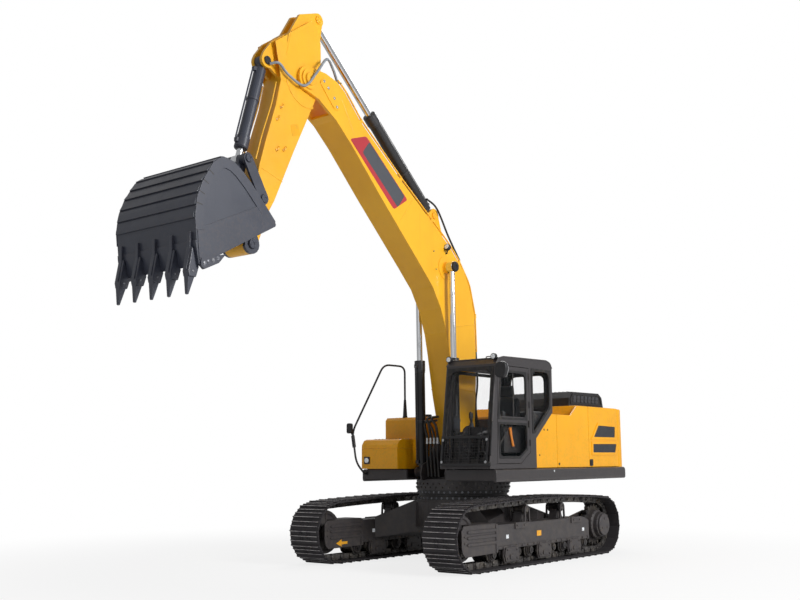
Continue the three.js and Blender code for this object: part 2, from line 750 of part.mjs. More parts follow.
function handrail() {
  const points = [
    [railRoot, deckFrontRight - restGap, 1380], [railRoot, -1010, 1380], [railRoot - 134, -1060, 1560],
    [railRoot - 194, -1090, 2070], [railRoot + 206, -735, 3205], [railRoot + 341, -330, 3190],
    [railRoot + 341, -330, tankTop + restGap],
  ];
  const tubes = tubeThrough(points, railRadius);
  const knuckles = points.slice(1, -1)
    .map(([x, y, z]) => solid(new THREE.SphereGeometry(railRadius + 0.5, 10, 8).translate(x, y, z)));
  return join(tubes, knuckles);
}

// ---------------------------------------------------------------- boom
const boomOutline = [
  ...arc(boomFoot, 190, 205, 345, 8), [60, 2350], [110, 3000], [112, 3400], [92, 4016], [10, 4330],
  [-60, 4520], [-200, 4740], [-345, 4870], [-620, 5110], [-1110, 5445], [-1915, 5975], [-2880, 6668],
  [-3240, 7030], [-3400, 7130], [-3650, 7190], ...arc(armPivot, 200, 75, 235, 8),
  [-3800, 6760], [-3425, 6540], [-3090, 6258], [-2415, 5605], [-1900, 5130], [-1394, 4658], [-1080, 4355],
  [-868, 4025], [-720, 3650], [-640, 3300], [-520, 2650],
];
const boomEarInner = 60;
const forkFloor = [
  [-3600, 6350], [-3520, 6640], [-3010, 6860], [-3200, 7400], [-4500, 7400], [-4500, 6300],
];

function boom() {
  const whole = slabX(boomOutline, -boomHalfWidth, boomHalfWidth);
  const fork = slabX(forkFloor, -forkInner, forkInner);
  const solidEnd = slabX(inset(forkFloor, -plateThick), -boomHalfWidth, boomHalfWidth);
  const roomHalf = boomHalfWidth - plateThick;
  const room = cut(slabX(inset(boomOutline, plateThick), -roomHalf, roomHalf), solidEnd);
  const footBoss = barX(boomFoot, 120, -boomHalfWidth, boomHalfWidth);
  const drain = block(-60, 60, boomFoot[0] - 150, boomFoot[0] - 40, 1700, 1840);
  const hollow = cut(whole, fork, cut(room, footBoss), cut(drain, barX(boomFoot, 120, -70, 70)));
  const tipBosses = sides.map(([, side]) => barX(armPivot, 150,
    ...between(side, armBossHalf, boomHalfWidth + 22)));
  const cylinderBosses = sides.map(([, side]) => barX(boomCylinderTop, 95,
    ...between(side, roomHalf, cylinderX - boomEye - pinGap)));
  const ears = sides.map(([, side]) => slabX([
    [-1290, 5470], [-620, 5030], [-600, 5200], ...arc(armCylinderFoot, 120, -10, 150, 6), [-1180, 5480],
  ], ...between(side, boomEarInner, boomEarInner + 40)));
  return join(hollow, tipBosses, cylinderBosses, ears);
}

add('boom', boom(), yellow);

// ---------------------------------------------------------------- arm
const armOutline = [
  ...arc(bucketPivot, 135, 110, 350, 12), [-4736, 4902], [-4620, 5090], [-4248, 5884], [-3835, 6714],
  [-3722, 7000], [-3705, 7400], [-3712, 7640], [-3770, 7830], [-3912, 7930], [-4370, 7590], [-4469, 7119],
  [-4525, 6839], [-4614, 6450], [-4792, 5911], [-4904, 5533], [-4950, 5300], [-5010, 5000], [-5085, 4640],
];
const earTop = [
  [-3722, 7300], ...arc(armCylinderTop, 105, -40, 120, 6), [-4090, 7990], [-4300, 7640], [-4000, 7300],
];
const earFront = [
  [-4400, 7570], [-4643, 7394], [-4790, 7200], ...arc(bucketCylinderFoot, 105, 160, 300, 6), [-4500, 6900],
];
const frontRoom = [[-4560, 7500], [-4475, 7150], [-4535, 6860], [-4900, 6700], [-5100, 7500]];
const armEarInner = 62;
const armEarThick = 45;
const earRoom = [[-3780, 7620], [-3850, 7700], [-4010, 7760], [-3980, 8300], [-3400, 8300], [-3400, 7600]];

function arm() {
  const whole = slabX(armOutline, -armHalfWidth, armHalfWidth);
  const roomHalf = armHalfWidth - plateThick;
  const room = slabX(inset(armOutline, plateThick), -roomHalf, roomHalf);
  const bossHalf = armBossHalf - pinGap;
  const solidTop = slabX(inset(earRoom, -plateThick - 6), -armHalfWidth, armHalfWidth);
  const head = barX(armPivot, 165, -bossHalf, bossHalf);
  const tip = barX(bucketPivot, 135, -bossHalf, bossHalf);
  const rocker = barX(rockerPivot, 85, -bossHalf, bossHalf);
  const ears = sides.flatMap(([, side]) => [earTop, earFront]
    .map((shape) => slabX(shape, ...between(side, armEarInner, armEarInner + armEarThick))));
  const slot = slabX(earRoom, -armEarInner, armEarInner);
  const frontSlot = slabX(frontRoom, -armEarInner, armEarInner);
  const vent = block(-40, 40, -4060, -3900, 7500, 7800);
  const hollow = cut(whole, cut(room, head, tip, rocker, solidTop), vent);
  return cut(join(hollow, head, tip, rocker, ears), slot, frontSlot);
}

add('arm', arm(), yellow);

// ---------------------------------------------------------------- bucket and its links
const bucketOutline = [
  [-6387, 3872], [-6439, 4103], [-6480, 4456], [-6455, 4690], [-6372, 4904], [-6223, 5147], [-6120, 5235],
  [-6034, 5262], [-5900, 5235], [-5780, 5170], [-5614, 5040], [-5403, 4838], [-5175, 4622], [-5150, 4570],
];
const bucketEarInner = armBossHalf;
const bucketEarThick = 45;
const toothShape = [
  [-6455, 4060], [-6510, 3760], [-6500, 3530], [-6482, 3522], [-6420, 3720], [-6372, 3900],
];
const toothHalf = 52;
const toothPoint = 20;              // half the width of a tooth's point
const cutterShape = [[-6387, 3872], [-6330, 3830], [-6110, 3935], [-6000, 4060], [-6380, 3960]];

function bucket() {
  const whole = slabX(bucketOutline, -bucketHalfWidth, bucketHalfWidth);
  const inner = inset(bucketOutline, bucketShell);
  const cavity = [...inner.slice(1, -1), [-5165, 4520], [-5100, 4300], [-6380, 3700], [-6365, 3860]];
  const room = slabX(cavity, bucketSide - bucketHalfWidth, bucketHalfWidth - bucketSide);
  const earShape = [
    ...arc(bucketPivot, 135, 200, 380, 8), ...arc(linkPivot, 110, 40, 130, 5),
    [-5560, 5000], [-5330, 4780], [-5160, 4600],
  ];
  const ears = sides.map(([, side]) => slabX(earShape,
    ...between(side, bucketEarInner, bucketEarInner + bucketEarThick)));
  const teeth = Array.from({ length: toothCount }, (_, i) => {
    const x = (i - (toothCount - 1) / 2) * toothPitch;
    const taper = slabY([
      [x - toothHalf, 4070], [x - toothHalf, 3900], [x - toothPoint, 3515],
      [x + toothPoint, 3515], [x + toothHalf, 3900], [x + toothHalf, 4070],
    ], -6600, -6300);
    return slabX(toothShape, x - toothHalf, x + toothHalf).intersect(taper);
  });
  const cutters = sides.map(([, side]) => slabX(cutterShape,
    ...between(side, bucketHalfWidth - bucketSide, bucketHalfWidth + 18)));
  return join(cut(whole, room), ears, teeth, cutters);
}

add('bucket', bucket(), steelGrey, 0.5, 0.4);

const rockerInner = armBossHalf;
const rockerThick = 38;
const linkInner = 63;
const linkThick = 48;

function rockerArm(side) {
  const shape = [...arc(rockerPivot, 85, 210, 390, 6), ...arc(rockerEnd, 80, 30, 210, 6)];
  return slabX(shape, ...between(side, rockerInner, rockerInner + rockerThick));
}

function bucketLink() {
  const waist = 52;
  const centre = [(linkPivot[0] + rockerEnd[0]) / 2, (linkPivot[1] + rockerEnd[1]) / 2];
  const shape = [
    ...arc(linkPivot, 80, 190, 370, 6), [centre[0] + waist, centre[1]],
    ...arc(rockerEnd, 75, 0, 180, 6), [centre[0] - waist, centre[1]],
  ];
  const plates = sides.map(([, side]) => slabX(shape, ...between(side, linkInner, linkInner + linkThick)));
  const foot = barX(linkPivot, 80, -bucketEarInner + pinGap, bucketEarInner - pinGap);
  const heads = sides.map(([, side]) => (
    barX(rockerEnd, 75, ...between(side, linkInner, rockerInner - pinGap))));
  return join(plates, foot, heads);
}

for (const [name, side] of sides) {
  add(`rocker_${name}`, rockerArm(side), steelGrey, 0.5, 0.4);
}
add('bucket_link', bucketLink(), steelGrey, 0.5, 0.4);

// ---------------------------------------------------------------- hydraulic cylinders
const tubeWall = 18;
const chrome = 0xd8dadd;

// a tube with a closed foot that ends in an eye
function barrel(x, from, to, size) {
  const { length, radius, neck, eyeHalf, eyeRadius } = size;
  const bore = size.rod + pinGap;
  const wide = radius - tubeWall;
  const tube = turned([
    [0, 0], [eyeHalf - 4, 0], [eyeHalf - 4, neck], [radius, neck], [radius, length - 160],
    [radius + 9, length - 150], [radius + 9, length], [bore, length], [bore, length - 90],
    [wide, length - 100], [wide, neck + 40], [0, neck + 40],
  ], x, from, to);
  return join(tube, barX(from, eyeRadius, x - eyeHalf, x + eyeHalf));
}

// a plain bar with an eye, sliding in the barrel
function rod(x, from, to, size) {
  const bar = turned([[0, 0], [size.rod, 0], [size.rod, size.rodLength], [0, size.rodLength]], x, to, from);
  return join(bar, barX(to, size.rodEyeRadius, x - size.rodEyeHalf, x + size.rodEyeHalf));
}

const boomCylinder = {
  length: 1820, radius: boomCylinderRadius, rod: 48, neck: 104, rodLength: 1780,
  eyeHalf: boomEye, eyeRadius: 84, rodEyeHalf: boomEye, rodEyeRadius: 88,
};
const armCylinder = {
  length: 2060, radius: 92, rod: 55, neck: 142, rodLength: 2010,
  eyeHalf: boomEarInner - pinGap, eyeRadius: 100, rodEyeHalf: 58, rodEyeRadius: 85,
};
const bucketCylinder = {
  length: 1390, radius: 82, rod: 46, neck: 124, rodLength: 1260,
  eyeHalf: armEarInner - pinGap, eyeRadius: 88, rodEyeHalf: 55, rodEyeRadius: 78,
};

for (const [name, side] of sides) {
  const x = side * cylinderX;
  add(`boom_barrel_${name}`, barrel(x, boomCylinderFoot, boomCylinderTop, boomCylinder), black);
  add(`boom_rod_${name}`, rod(x, boomCylinderFoot, boomCylinderTop, boomCylinder), chrome, 0.2, 0.9);
}
add('arm_barrel', barrel(0, armCylinderFoot, armCylinderTop, armCylinder), black);
add('arm_rod', rod(0, armCylinderFoot, armCylinderTop, armCylinder), chrome, 0.2, 0.9);
add('bucket_barrel', barrel(0, bucketCylinderFoot, rockerEnd, bucketCylinder), steelGrey);
add('bucket_rod', rod(0, bucketCylinderFoot, rockerEnd, bucketCylinder), chrome, 0.2, 0.9);

add('handrail', handrail(), black);

const box = new THREE.Box3().setFromObject(machine);
const middle = box.getCenter(new THREE.Vector3());
machine.position.set(-middle.x, -middle.y, -box.min.z);

export default machine;
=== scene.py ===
import json
import math

import bmesh
import bpy
import numpy as np
from mathutils import Matrix, Vector


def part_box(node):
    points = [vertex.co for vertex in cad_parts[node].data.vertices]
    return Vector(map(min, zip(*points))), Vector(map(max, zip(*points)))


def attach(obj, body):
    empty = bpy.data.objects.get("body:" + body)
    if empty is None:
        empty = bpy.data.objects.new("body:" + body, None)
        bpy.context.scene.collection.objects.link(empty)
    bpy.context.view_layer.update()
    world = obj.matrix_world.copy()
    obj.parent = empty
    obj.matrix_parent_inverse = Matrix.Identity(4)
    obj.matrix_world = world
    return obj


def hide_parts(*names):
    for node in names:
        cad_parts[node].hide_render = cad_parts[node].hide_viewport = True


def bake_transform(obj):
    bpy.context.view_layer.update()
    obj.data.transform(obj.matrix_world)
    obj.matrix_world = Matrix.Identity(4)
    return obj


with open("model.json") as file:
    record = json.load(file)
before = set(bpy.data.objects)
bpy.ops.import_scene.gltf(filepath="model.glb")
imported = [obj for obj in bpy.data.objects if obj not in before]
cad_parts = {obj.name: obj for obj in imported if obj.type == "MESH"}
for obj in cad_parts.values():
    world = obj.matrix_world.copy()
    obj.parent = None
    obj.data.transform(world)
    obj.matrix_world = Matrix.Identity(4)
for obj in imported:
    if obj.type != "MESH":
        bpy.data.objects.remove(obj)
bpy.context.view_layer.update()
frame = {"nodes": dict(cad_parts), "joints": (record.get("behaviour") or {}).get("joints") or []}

bl_info = {
    "name": "Crawler excavator looks",
    "version": (1, 0, 0),
    "blender": (4, 5, 0),
    "location": "3D View > Sidebar > Excavator",
    "description": "Builds the visible surfaces of a crawler excavator round its packed frame",
    "category": "Add Mesh",
}

# ---------------------------------------------------------------- places from the frame
boxes = {node: tuple(np.array(c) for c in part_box(node)) for node in frame["nodes"]}
pivots = {j["name"]: np.array(j["pos_m"]) for j in frame["joints"] if j["type"] == "hinge"}
SIDES = (("left", 1), ("right", -1))
X, Y, Z = np.eye(3)
slew = pivots["swing"][1]       # the slewing axis, along Y


def at(x, y, z):
    """A place in metres from where the slewing axis meets the ground."""
    return np.array([x, y + slew, z], float)


# ---------------------------------------------------------------- surfaces as arrays
def unit(vector):
    """A vector, or each row of vectors, brought to length 1."""
    return np.asarray(vector, float) / np.linalg.norm(vector, axis=-1, keepdims=True)


def spokes(axis, count, start=0.0):
    """Unit directions square to an axis, spaced evenly round it: cos * first + sin * second."""
    axis = unit(axis)
    first = unit(np.cross(axis, X if abs(axis[0]) < 0.7 else Y))
    turn = start + np.linspace(0, 2 * np.pi, count, endpoint=False)[:, None]
    return np.cos(turn) * first + np.sin(turn) * np.cross(axis, first)


def grid(points, around=False, along=False):
    """Quads over a grid of points; around closes each row, along joins the last row to the first."""
    rows, columns = points.shape[:2]
    index = np.arange(rows * columns).reshape(rows, columns)
    beside = np.roll(index, -1, 1)
    quads = np.stack([index, beside, np.roll(beside, -1, 0), np.roll(index, -1, 0)], -1)
    quads = quads if around else quads[:, :-1]
    quads = quads if along else quads[:-1]
    return points.reshape(-1, 3), [quads.reshape(-1, 4)]


def loft(rings):
    """Walls from each ring of points to the next, with a flat cap on the first and the last."""
    points, faces = grid(rings, around=True)
    count = rings.shape[1]
    first = np.arange(count)[None, ::-1]
    last = first[:, ::-1] + len(points) - count
    return points, faces + [first, last]


def prism(outline, low, high, axis=0):
    """An outline in the two other directions, carried straight from one place to another along an axis."""
    outline = np.asarray(outline, float)
    rings = np.empty((2, len(outline), 3))
    rings[:, :, [i for i in range(3) if i != axis]] = outline
    rings[0, :, axis] = low
    rings[1, :, axis] = high
    return loft(rings)


def block(low, high):
    """A box between two opposite corners."""
    (x0, y0, z0), (x1, y1, z1) = low, high
    return prism([(x0, y0), (x1, y0), (x1, y1), (x0, y1)], z0, z1, axis=2)


def lathe(profile, origin, axis, sides=32, ring=False):
    """Each (radius, distance) pair goes round the axis, which starts at the origin."""
    radii, distances = np.asarray(profile, float).T[:, :, None, None]
    points = np.asarray(origin) + distances * unit(axis) + radii * spokes(axis, sides)
    return grid(points, around=True, along=True) if ring else loft(points)


def tube(path, radius, sides=12):
    """A circle of the radius carried along a path, square to it; the radius may change along it."""
    path = np.asarray(path, float)
    ahead = unit(np.gradient(path, axis=0))
    first = unit(np.cross(ahead, np.eye(3)[np.argmin(np.abs(ahead).max(0))]))[:, None]
    second = np.cross(ahead, first[:, 0])[:, None]
    turn = np.linspace(0, 2 * np.pi, sides, endpoint=False)[None, :, None]
    radius = np.broadcast_to(radius, len(path))[:, None, None]
    return loft(path[:, None] + radius * (np.cos(turn) * first + np.sin(turn) * second))


def curve(points, steps=8):
    """A smooth line through the points: each stretch is a cubic with slopes taken from its neighbours."""
    p = np.asarray(points, float)
    p = np.concatenate([[2 * p[0] - p[1]], p, [2 * p[-1] - p[-2]]])
    t = np.linspace(0, 1, steps, endpoint=False)[None, :, None]
    a, b, c, d = (p[i:len(p) - 3 + i, None] for i in range(4))
    line = 0.5 * (2 * b + (c - a) * t + (2 * a - 5 * b + 4 * c - d) * t ** 2
                  + (3 * b - a - 3 * c + d) * t ** 3)
    return np.concatenate([line.reshape(-1, 3), p[-2:-1]])


def bends(before, corner, after, radius, steps):
    """Each corner as a quadratic bend; its ends lie a radius, or 0.45 of the run, towards the neighbours."""
    ends = []
    for neighbour in (before, after):
        run = neighbour - corner
        length = np.linalg.norm(run, axis=1)[:, None]
        ends.append((corner + run / length * np.minimum(radius, length * 0.45))[:, None])
    t = np.linspace(0, 1, steps)[None, :, None]
    line = (1 - t) ** 2 * ends[0] + 2 * t * (1 - t) * corner[:, None] + t ** 2 * ends[1]
    return line.reshape(-1, corner.shape[1])


def rounded(points, radius, steps=5):
    """An open line with each inner corner turned into a bend."""
    p = np.asarray(points, float)
    return np.concatenate([p[:1], bends(p[:-2], p[1:-1], p[2:], radius, steps), p[-1:]])


def soft(outline, radius, steps=4):
    """A closed outline with each corner turned into a bend."""
    p = np.asarray(outline, float)
    return bends(np.roll(p, 1, 0), p, np.roll(p, -1, 0), radius, steps)


def repeated(moved, faces):
    """One surface from copies that share their faces, each row of moved holding one copy's points."""
    shift = np.arange(len(moved))[:, None, None] * moved.shape[1]
    return moved.reshape(-1, 3), [(f + shift).reshape(-1, f.shape[1]) for f in faces]


def copies(surface, places):
    """The same surface at each place."""
    points, faces = surface
    return repeated(np.asarray(places, float).reshape(-1, 1, 3) + points, faces)


def bolts(places, axis, radius=0.013, height=0.011):
    """Hexagon heads on washers at the places, facing along the axis."""
    washer = lathe([(radius * 1.35, 0), (radius * 1.35, height * 0.25)], np.zeros(3), axis, 12)
    head = lathe([(radius, 0), (radius, height * 0.8), (radius * 0.8, height)], np.zeros(3), axis, 6)
    return both(copies(washer, places), copies(head, places))


def turned(*half):
    """A lathe profile with two equal halves, from the (radius, distance) pairs of one half."""
    return [(radius, -distance) for radius, distance in half[::-1]] + list(half)


def ring_places(centre, axis, radius, count, start=0.0):
    """Places spaced evenly on a circle round the axis."""
    return np.asarray(centre) + radius * spokes(axis, count, start)


def both(*surfaces):
    """Several surfaces as one."""
    faces, count = [], 0
    for points, some in surfaces:
        faces += [f + count for f in some]
        count += len(points)
    return np.concatenate([points for points, _ in surfaces]), faces


def pair(build):
    """What build makes for side -1 and for side 1, as one surface."""
    return both(build(-1), build(1))


def arc(centre, radius, start, stop, steps=8):
    """Places on a circle between two angles in degrees, as pairs."""
    turn = np.radians(np.linspace(start, stop, steps))
    return np.stack([centre[0] + radius * np.cos(turn), centre[1] + radius * np.sin(turn)], 1)


def rounded_box(low, high, radius, steps=4):
    """Corners of an outline with quarter circles: the four corner arcs of a rectangle, as pairs."""
    (u0, v0), (u1, v1) = low, high
    corners = [(u1 - radius, v1 - radius, 0), (u0 + radius, v1 - radius, 90),
               (u0 + radius, v0 + radius, 180), (u1 - radius, v0 + radius, 270)]
    return np.concatenate([arc((u, v), radius, turn, turn + 90, steps) for u, v, turn in corners])


def shrunk(outline, by):
    """A closed outline moved inwards: each corner goes along the sum of its two edges' inward normals."""
    p = np.asarray(outline, float)
    ahead = unit(np.roll(p, -1, 0) - p)
    x, y = p.T
    turn = np.sign(np.sum(x * np.roll(y, -1) - np.roll(x, -1) * y))
    inward = turn * np.stack([-ahead[:, 1], ahead[:, 0]], 1)
    before = np.roll(inward, 1, 0)
    return p + by * (inward + before) / (1 + np.sum(inward * before, 1))[:, None]


def rim(outline, by, low, high, axis=0, outer=0.004, inner=0.03):
    """A frame of even width round an outline, its outer and inner corners rounded separately."""
    rings = np.empty((4, len(outline) * 4, 3))
    others = [i for i in range(3) if i != axis]
    rings[:2, :, others] = soft(outline, outer)
    rings[2:, :, others] = soft(shrunk(outline, by), inner)
    rings[:, :, axis] = np.array([low, high, high, low])[:, None]
    return grid(rings, around=True, along=True)


def turn_over(surface, side):
    """A surface drawn on the left, as it is or on the machine's right."""
    points, faces = surface
    return (points * (-1, 1, 1) if side == "right" else points), faces


# ---------------------------------------------------------------- pieces
def mesh_of(surface, bevel=0.0, segments=2, finish=0, crease=30):
    """A clean mesh of a surface: doubles merged, faces turned outwards, edges over the crease rounded."""
    points, faces = surface
    mesh = bpy.data.meshes.new("surface")
    corners = np.concatenate([f.ravel() for f in faces])
    totals = np.concatenate([np.full(len(f), f.shape[1]) for f in faces])
    mesh.vertices.add(len(points))
    mesh.vertices.foreach_set("co", np.asarray(points, np.float32).ravel())
    mesh.loops.add(len(corners))
    mesh.loops.foreach_set("vertex_index", corners.astype(np.int32))
    mesh.polygons.add(len(totals))
    mesh.polygons.foreach_set("loop_start", np.concatenate([[0], np.cumsum(totals)[:-1]]).astype(np.int32))
    mesh.update(calc_edges=True)
    mesh.validate()
    solid = bmesh.new()
    solid.from_mesh(mesh)
    bmesh.ops.remove_doubles(solid, verts=solid.verts, dist=1e-5)
    bmesh.ops.recalc_face_normals(solid, faces=solid.faces)
    if bevel:
        sharp = [e for e in solid.edges if e.is_manifold and e.calc_face_angle(0) > math.radians(crease)]
        bmesh.ops.bevel(solid, geom=sharp, offset=bevel, segments=segments, profile=0.5,
                        affect="EDGES", clamp_overlap=True)
    for face in solid.faces:
        face.material_index = finish
    solid.to_mesh(mesh)
    solid.free()
    return mesh


def make(name, body, parts, finishes, replaces=(), smooth=40):
    """One piece of several parts, each (surface, bevel width, finish number), riding on a body."""
    whole = bmesh.new()
    for surface, bevel, finish in parts:
        part = mesh_of(surface, bevel, finish=finish)
        whole.from_mesh(part)
        bpy.data.meshes.remove(part)
    mesh = bpy.data.meshes.new(name)
    whole.to_mesh(mesh)
    whole.free()
    mesh.shade_smooth()
    mesh.set_sharp_from_angle(angle=math.radians(smooth))
    piece = bpy.data.objects.new(name, mesh)
    bpy.context.scene.collection.objects.link(piece)
    for finish in finishes:
        mesh.materials.append(bpy.data.materials[finish])
    weigh(piece)
    if body:
        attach(piece, body)
    if replaces:
        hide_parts(*replaces)
    return piece


def weigh(piece):
    """Shades each corner by the larger faces round it, so that flat faces stay flat beside a round edge."""
    modifier = piece.modifiers.new("weighted", "WEIGHTED_NORMAL")
    modifier.keep_sharp = True
    modifier.weight = 80


# flat faces with holes through them stay in triangles, because one face can't carry a hole
PIERCED = {"cab_door", "cab_shell", "front_guard", "track_frame_left", "track_frame_right"}


def dress(node, finish, bevel=0.005, segments=2):
    """A carried-over CAD node with its finish; its sharp edges are rounded."""
    piece = frame["nodes"][node]
    if not piece.material_slots:
        piece.data.materials.append(None)
    for place in piece.material_slots:
        place.material = bpy.data.materials[finish]
    weld = piece.modifiers.new("weld", "WELD")
    weld.merge_threshold = 3e-5
    if node not in PIERCED:
        flatten = piece.modifiers.new("flat", "DECIMATE")
        flatten.decimate_type = "DISSOLVE"
        flatten.angle_limit = math.radians(0.5)
    if bevel:
        round_off = piece.modifiers.new("edges", "BEVEL")
        round_off.width = bevel
        round_off.segments = segments
        round_off.limit_method = "ANGLE"
        round_off.angle_limit = math.radians(32)
        round_off.use_clamp_overlap = True
        round_off.miter_outer = "MITER_ARC"
    weigh(piece)
    return piece


# ---------------------------------------------------------------- finishes
def hue(code):
    """A colour written as six hex digits, as linear red, green and blue."""
    parts = np.array([int(code[i:i + 2], 16) for i in (0, 2, 4)]) / 255
    linear = np.where(parts < 0.04045, parts / 12.92, ((parts + 0.055) / 1.055) ** 2.4)
    return tuple(float(v) for v in linear)


def shade(colour, factor):
    """The colour made lighter or darker."""
    return tuple(min(1.0, c * factor) for c in colour[:3])


class Finish:
    """One procedural material; each method adds a node and returns its output socket."""

    def __init__(self, name):
        """Starts the material with its shader and the place on the surface."""
        self.material = bpy.data.materials.new(name)
        self.material.use_nodes = True
        self.tree = self.material.node_tree
        self.shader = self.tree.nodes["Principled BSDF"]
        self.place = self.node("ShaderNodeTexCoord").outputs["Object"]

    def node(self, kind, inputs=None, **settings):
        """Adds a node with its settings, and feeds its sockets."""
        node = self.tree.nodes.new(kind)
        for key, value in settings.items():
            setattr(node, key, value)
        for key, value in (inputs or {}).items():
            self.feed(node.inputs[key], value)
        return node

    def feed(self, socket, value):
        """Links a socket to another node's output, or sets it to a plain value."""
        if isinstance(value, bpy.types.NodeSocket):
            self.tree.links.new(value, socket)
        elif socket.type == "RGBA":
            socket.default_value = (*value[:3], 1)
        else:
            socket.default_value = value

    def stretched(self, x, y, z):
        """The object's own place with each direction scaled."""
        return self.node("ShaderNodeMapping", {"Vector": self.place, "Scale": (x, y, z)}).outputs[0]

    def noise(self, scale, detail=4.0, rough=0.6, place=None, swirl=0.0):
        """Cloudy values from 0 to 1."""
        return self.node("ShaderNodeTexNoise", {
            "Vector": place or self.place, "Scale": scale, "Detail": detail,
            "Roughness": rough, "Distortion": swirl}).outputs["Fac"]

    def cells(self, scale, place=None, feature="F1"):
        """The distance to the nearest of many scattered points."""
        return self.node("ShaderNodeTexVoronoi", {"Vector": place or self.place, "Scale": scale},
                         feature=feature).outputs["Distance"]

    def span(self, value, low, high, start=0.0, end=1.0):
        """The value, from low to high, turned into start to end and held there."""
        return self.node("ShaderNodeMapRange", {
            "Value": value, "From Min": low, "From Max": high, "To Min": start, "To Max": end},
                         interpolation_type="SMOOTHSTEP").outputs[0]

    def sum(self, operation, a, b):
        """One arithmetic step, kept between 0 and 1."""
        node = self.node("ShaderNodeMath", operation=operation, use_clamp=True)
        self.feed(node.inputs[0], a)
        self.feed(node.inputs[1], b)
        return node.outputs[0]

    def mix(self, share, a, b):
        """The colour between a and b."""
        node = self.node("ShaderNodeMix", data_type="RGBA")
        self.feed(node.inputs[0], share)
        self.feed(node.inputs[6], a)
        self.feed(node.inputs[7], b)
        return node.outputs[2]

    def axis(self, index):
        """One coordinate of the place on the surface."""
        return self.node("ShaderNodeSeparateXYZ", {0: self.place}).outputs[index]

    def upward(self):
        """How far the surface faces the sky, from 0 to 1."""
        geometry = self.node("ShaderNodeNewGeometry")
        return self.node("ShaderNodeSeparateXYZ", {0: geometry.outputs["Normal"]}).outputs[2]

    def edges(self, low=0.52, high=0.6):
        """1 on outer edges and 0 elsewhere."""
        return self.span(self.node("ShaderNodeNewGeometry").outputs["Pointiness"], low, high)

    def bump(self, height, painted_glow, distance, under=None):
        """Relief from a height, laid over another relief where one is given."""
        inputs = {"Height": height, "Strength": painted_glow, "Distance": distance}
        if under is not None:
            inputs["Normal"] = under
        return self.node("ShaderNodeBump", inputs).outputs[0]

    def give(self, **values):
        """Sets the shader's sockets; an underscore in a name stands for a space."""
        for key, value in values.items():
            self.feed(self.shader.inputs[key.replace("_", " ")], value)
        return self.material


DUST = hue("B9A88C")
PRIMER = hue("5A4A3C")


def enamel(name, colour, roughness=0.34, dust=0.10, wear=0.35, coat=0.25, peel=0.02):
    """Sprayed enamel: slow drifts of shade, faint rain streaks, dust on upper faces and near the
    ground, chips down to primer, brighter rubbed edges and the fine ripple of spray."""
    f = Finish(name)
    drift = f.noise(0.9, 3)
    base = f.mix(f.span(drift, 0.3, 0.7), shade(colour, 0.93), shade(colour, 1.05))
    streaks = f.noise(1.0, 4, 0.7, f.stretched(16, 16, 0.7))
    base = f.mix(f.span(streaks, 0.56, 0.78, 0, 0.16), base, shade(colour, 0.62))
    settled = f.sum("MULTIPLY", f.span(f.upward(), 0.3, 1.0), f.span(f.noise(5, 6, 0.7), 0.35, 0.7))
    low = f.sum("MULTIPLY", f.span(f.axis(2), 1.6, 0.1), f.span(f.noise(9, 6, 0.75), 0.4, 0.65))
    dusty = f.sum("MULTIPLY", f.sum("MAXIMUM", settled, low), dust * 3)
    base = f.mix(dusty, base, DUST)
    rubbed = f.sum("MULTIPLY", f.edges(), f.span(f.noise(26, 5, 0.7), 0.46, 0.62))
    base = f.mix(f.sum("MULTIPLY", rubbed, wear), base, f.mix(0.5, shade(colour, 1.4), PRIMER))
    chips = f.span(f.noise(58, 2, 0.5), 0.735, 0.75)
    base = f.mix(f.sum("MULTIPLY", chips, wear), base, PRIMER)
    gloss = f.span(f.noise(3.2, 5, 0.7), 0.3, 0.75, roughness - 0.05, roughness + 0.09)
    gloss = f.sum("ADD", gloss, f.sum("MULTIPLY", dusty, 0.5))
    ripple = f.bump(f.noise(190, 2, 0.5), peel * 4, 0.0012)
    normal = f.bump(f.noise(2.2, 2, 0.4), 0.05, 0.02, ripple)
    return f.give(Base_Color=base, Roughness=gloss, Normal=normal, Coat_Weight=coat, Coat_Roughness=0.12)


def worn_steel(name, colour, bright, roughness=0.55, shine=0.6, dust=0.3, grain=60, metallic=0.7):
    """Bare or thinly painted steel in the dirt: dark scale, dust in patches and rubbed, bright edges."""
    f = Finish(name)
    base = f.mix(f.span(f.noise(2.4, 5, 0.7), 0.3, 0.72), shade(colour, 0.75), shade(colour, 1.25))
    scrapes = f.noise(1.0, 4, 0.75, f.stretched(grain, 7, 7))
    rub = f.sum("MULTIPLY", f.edges(0.505, 0.57), f.span(f.noise(14, 5, 0.7), 0.34, 0.6))
    rub = f.sum("MAXIMUM", rub, f.span(scrapes, 0.62, 0.72, 0, 0.35))
    base = f.mix(f.sum("MULTIPLY", rub, shine), base, bright)
    dirt = f.sum("MULTIPLY", f.span(f.noise(6, 8, 0.75), 0.42, 0.68), dust)
    base = f.mix(dirt, base, shade(DUST, 0.55))
    gloss = f.span(f.noise(11, 6, 0.7), 0.3, 0.7, roughness - 0.12, roughness + 0.15)
    gloss = f.sum("SUBTRACT", gloss, f.sum("MULTIPLY", rub, 0.2))
    rough = f.bump(f.noise(75, 6, 0.7), 0.22, 0.004)
    normal = f.bump(f.cells(23), 0.08, 0.006, rough)
    metal = f.sum("SUBTRACT", metallic, dirt)
    return f.give(Base_Color=base, Roughness=gloss, Metallic=metal, Normal=normal)


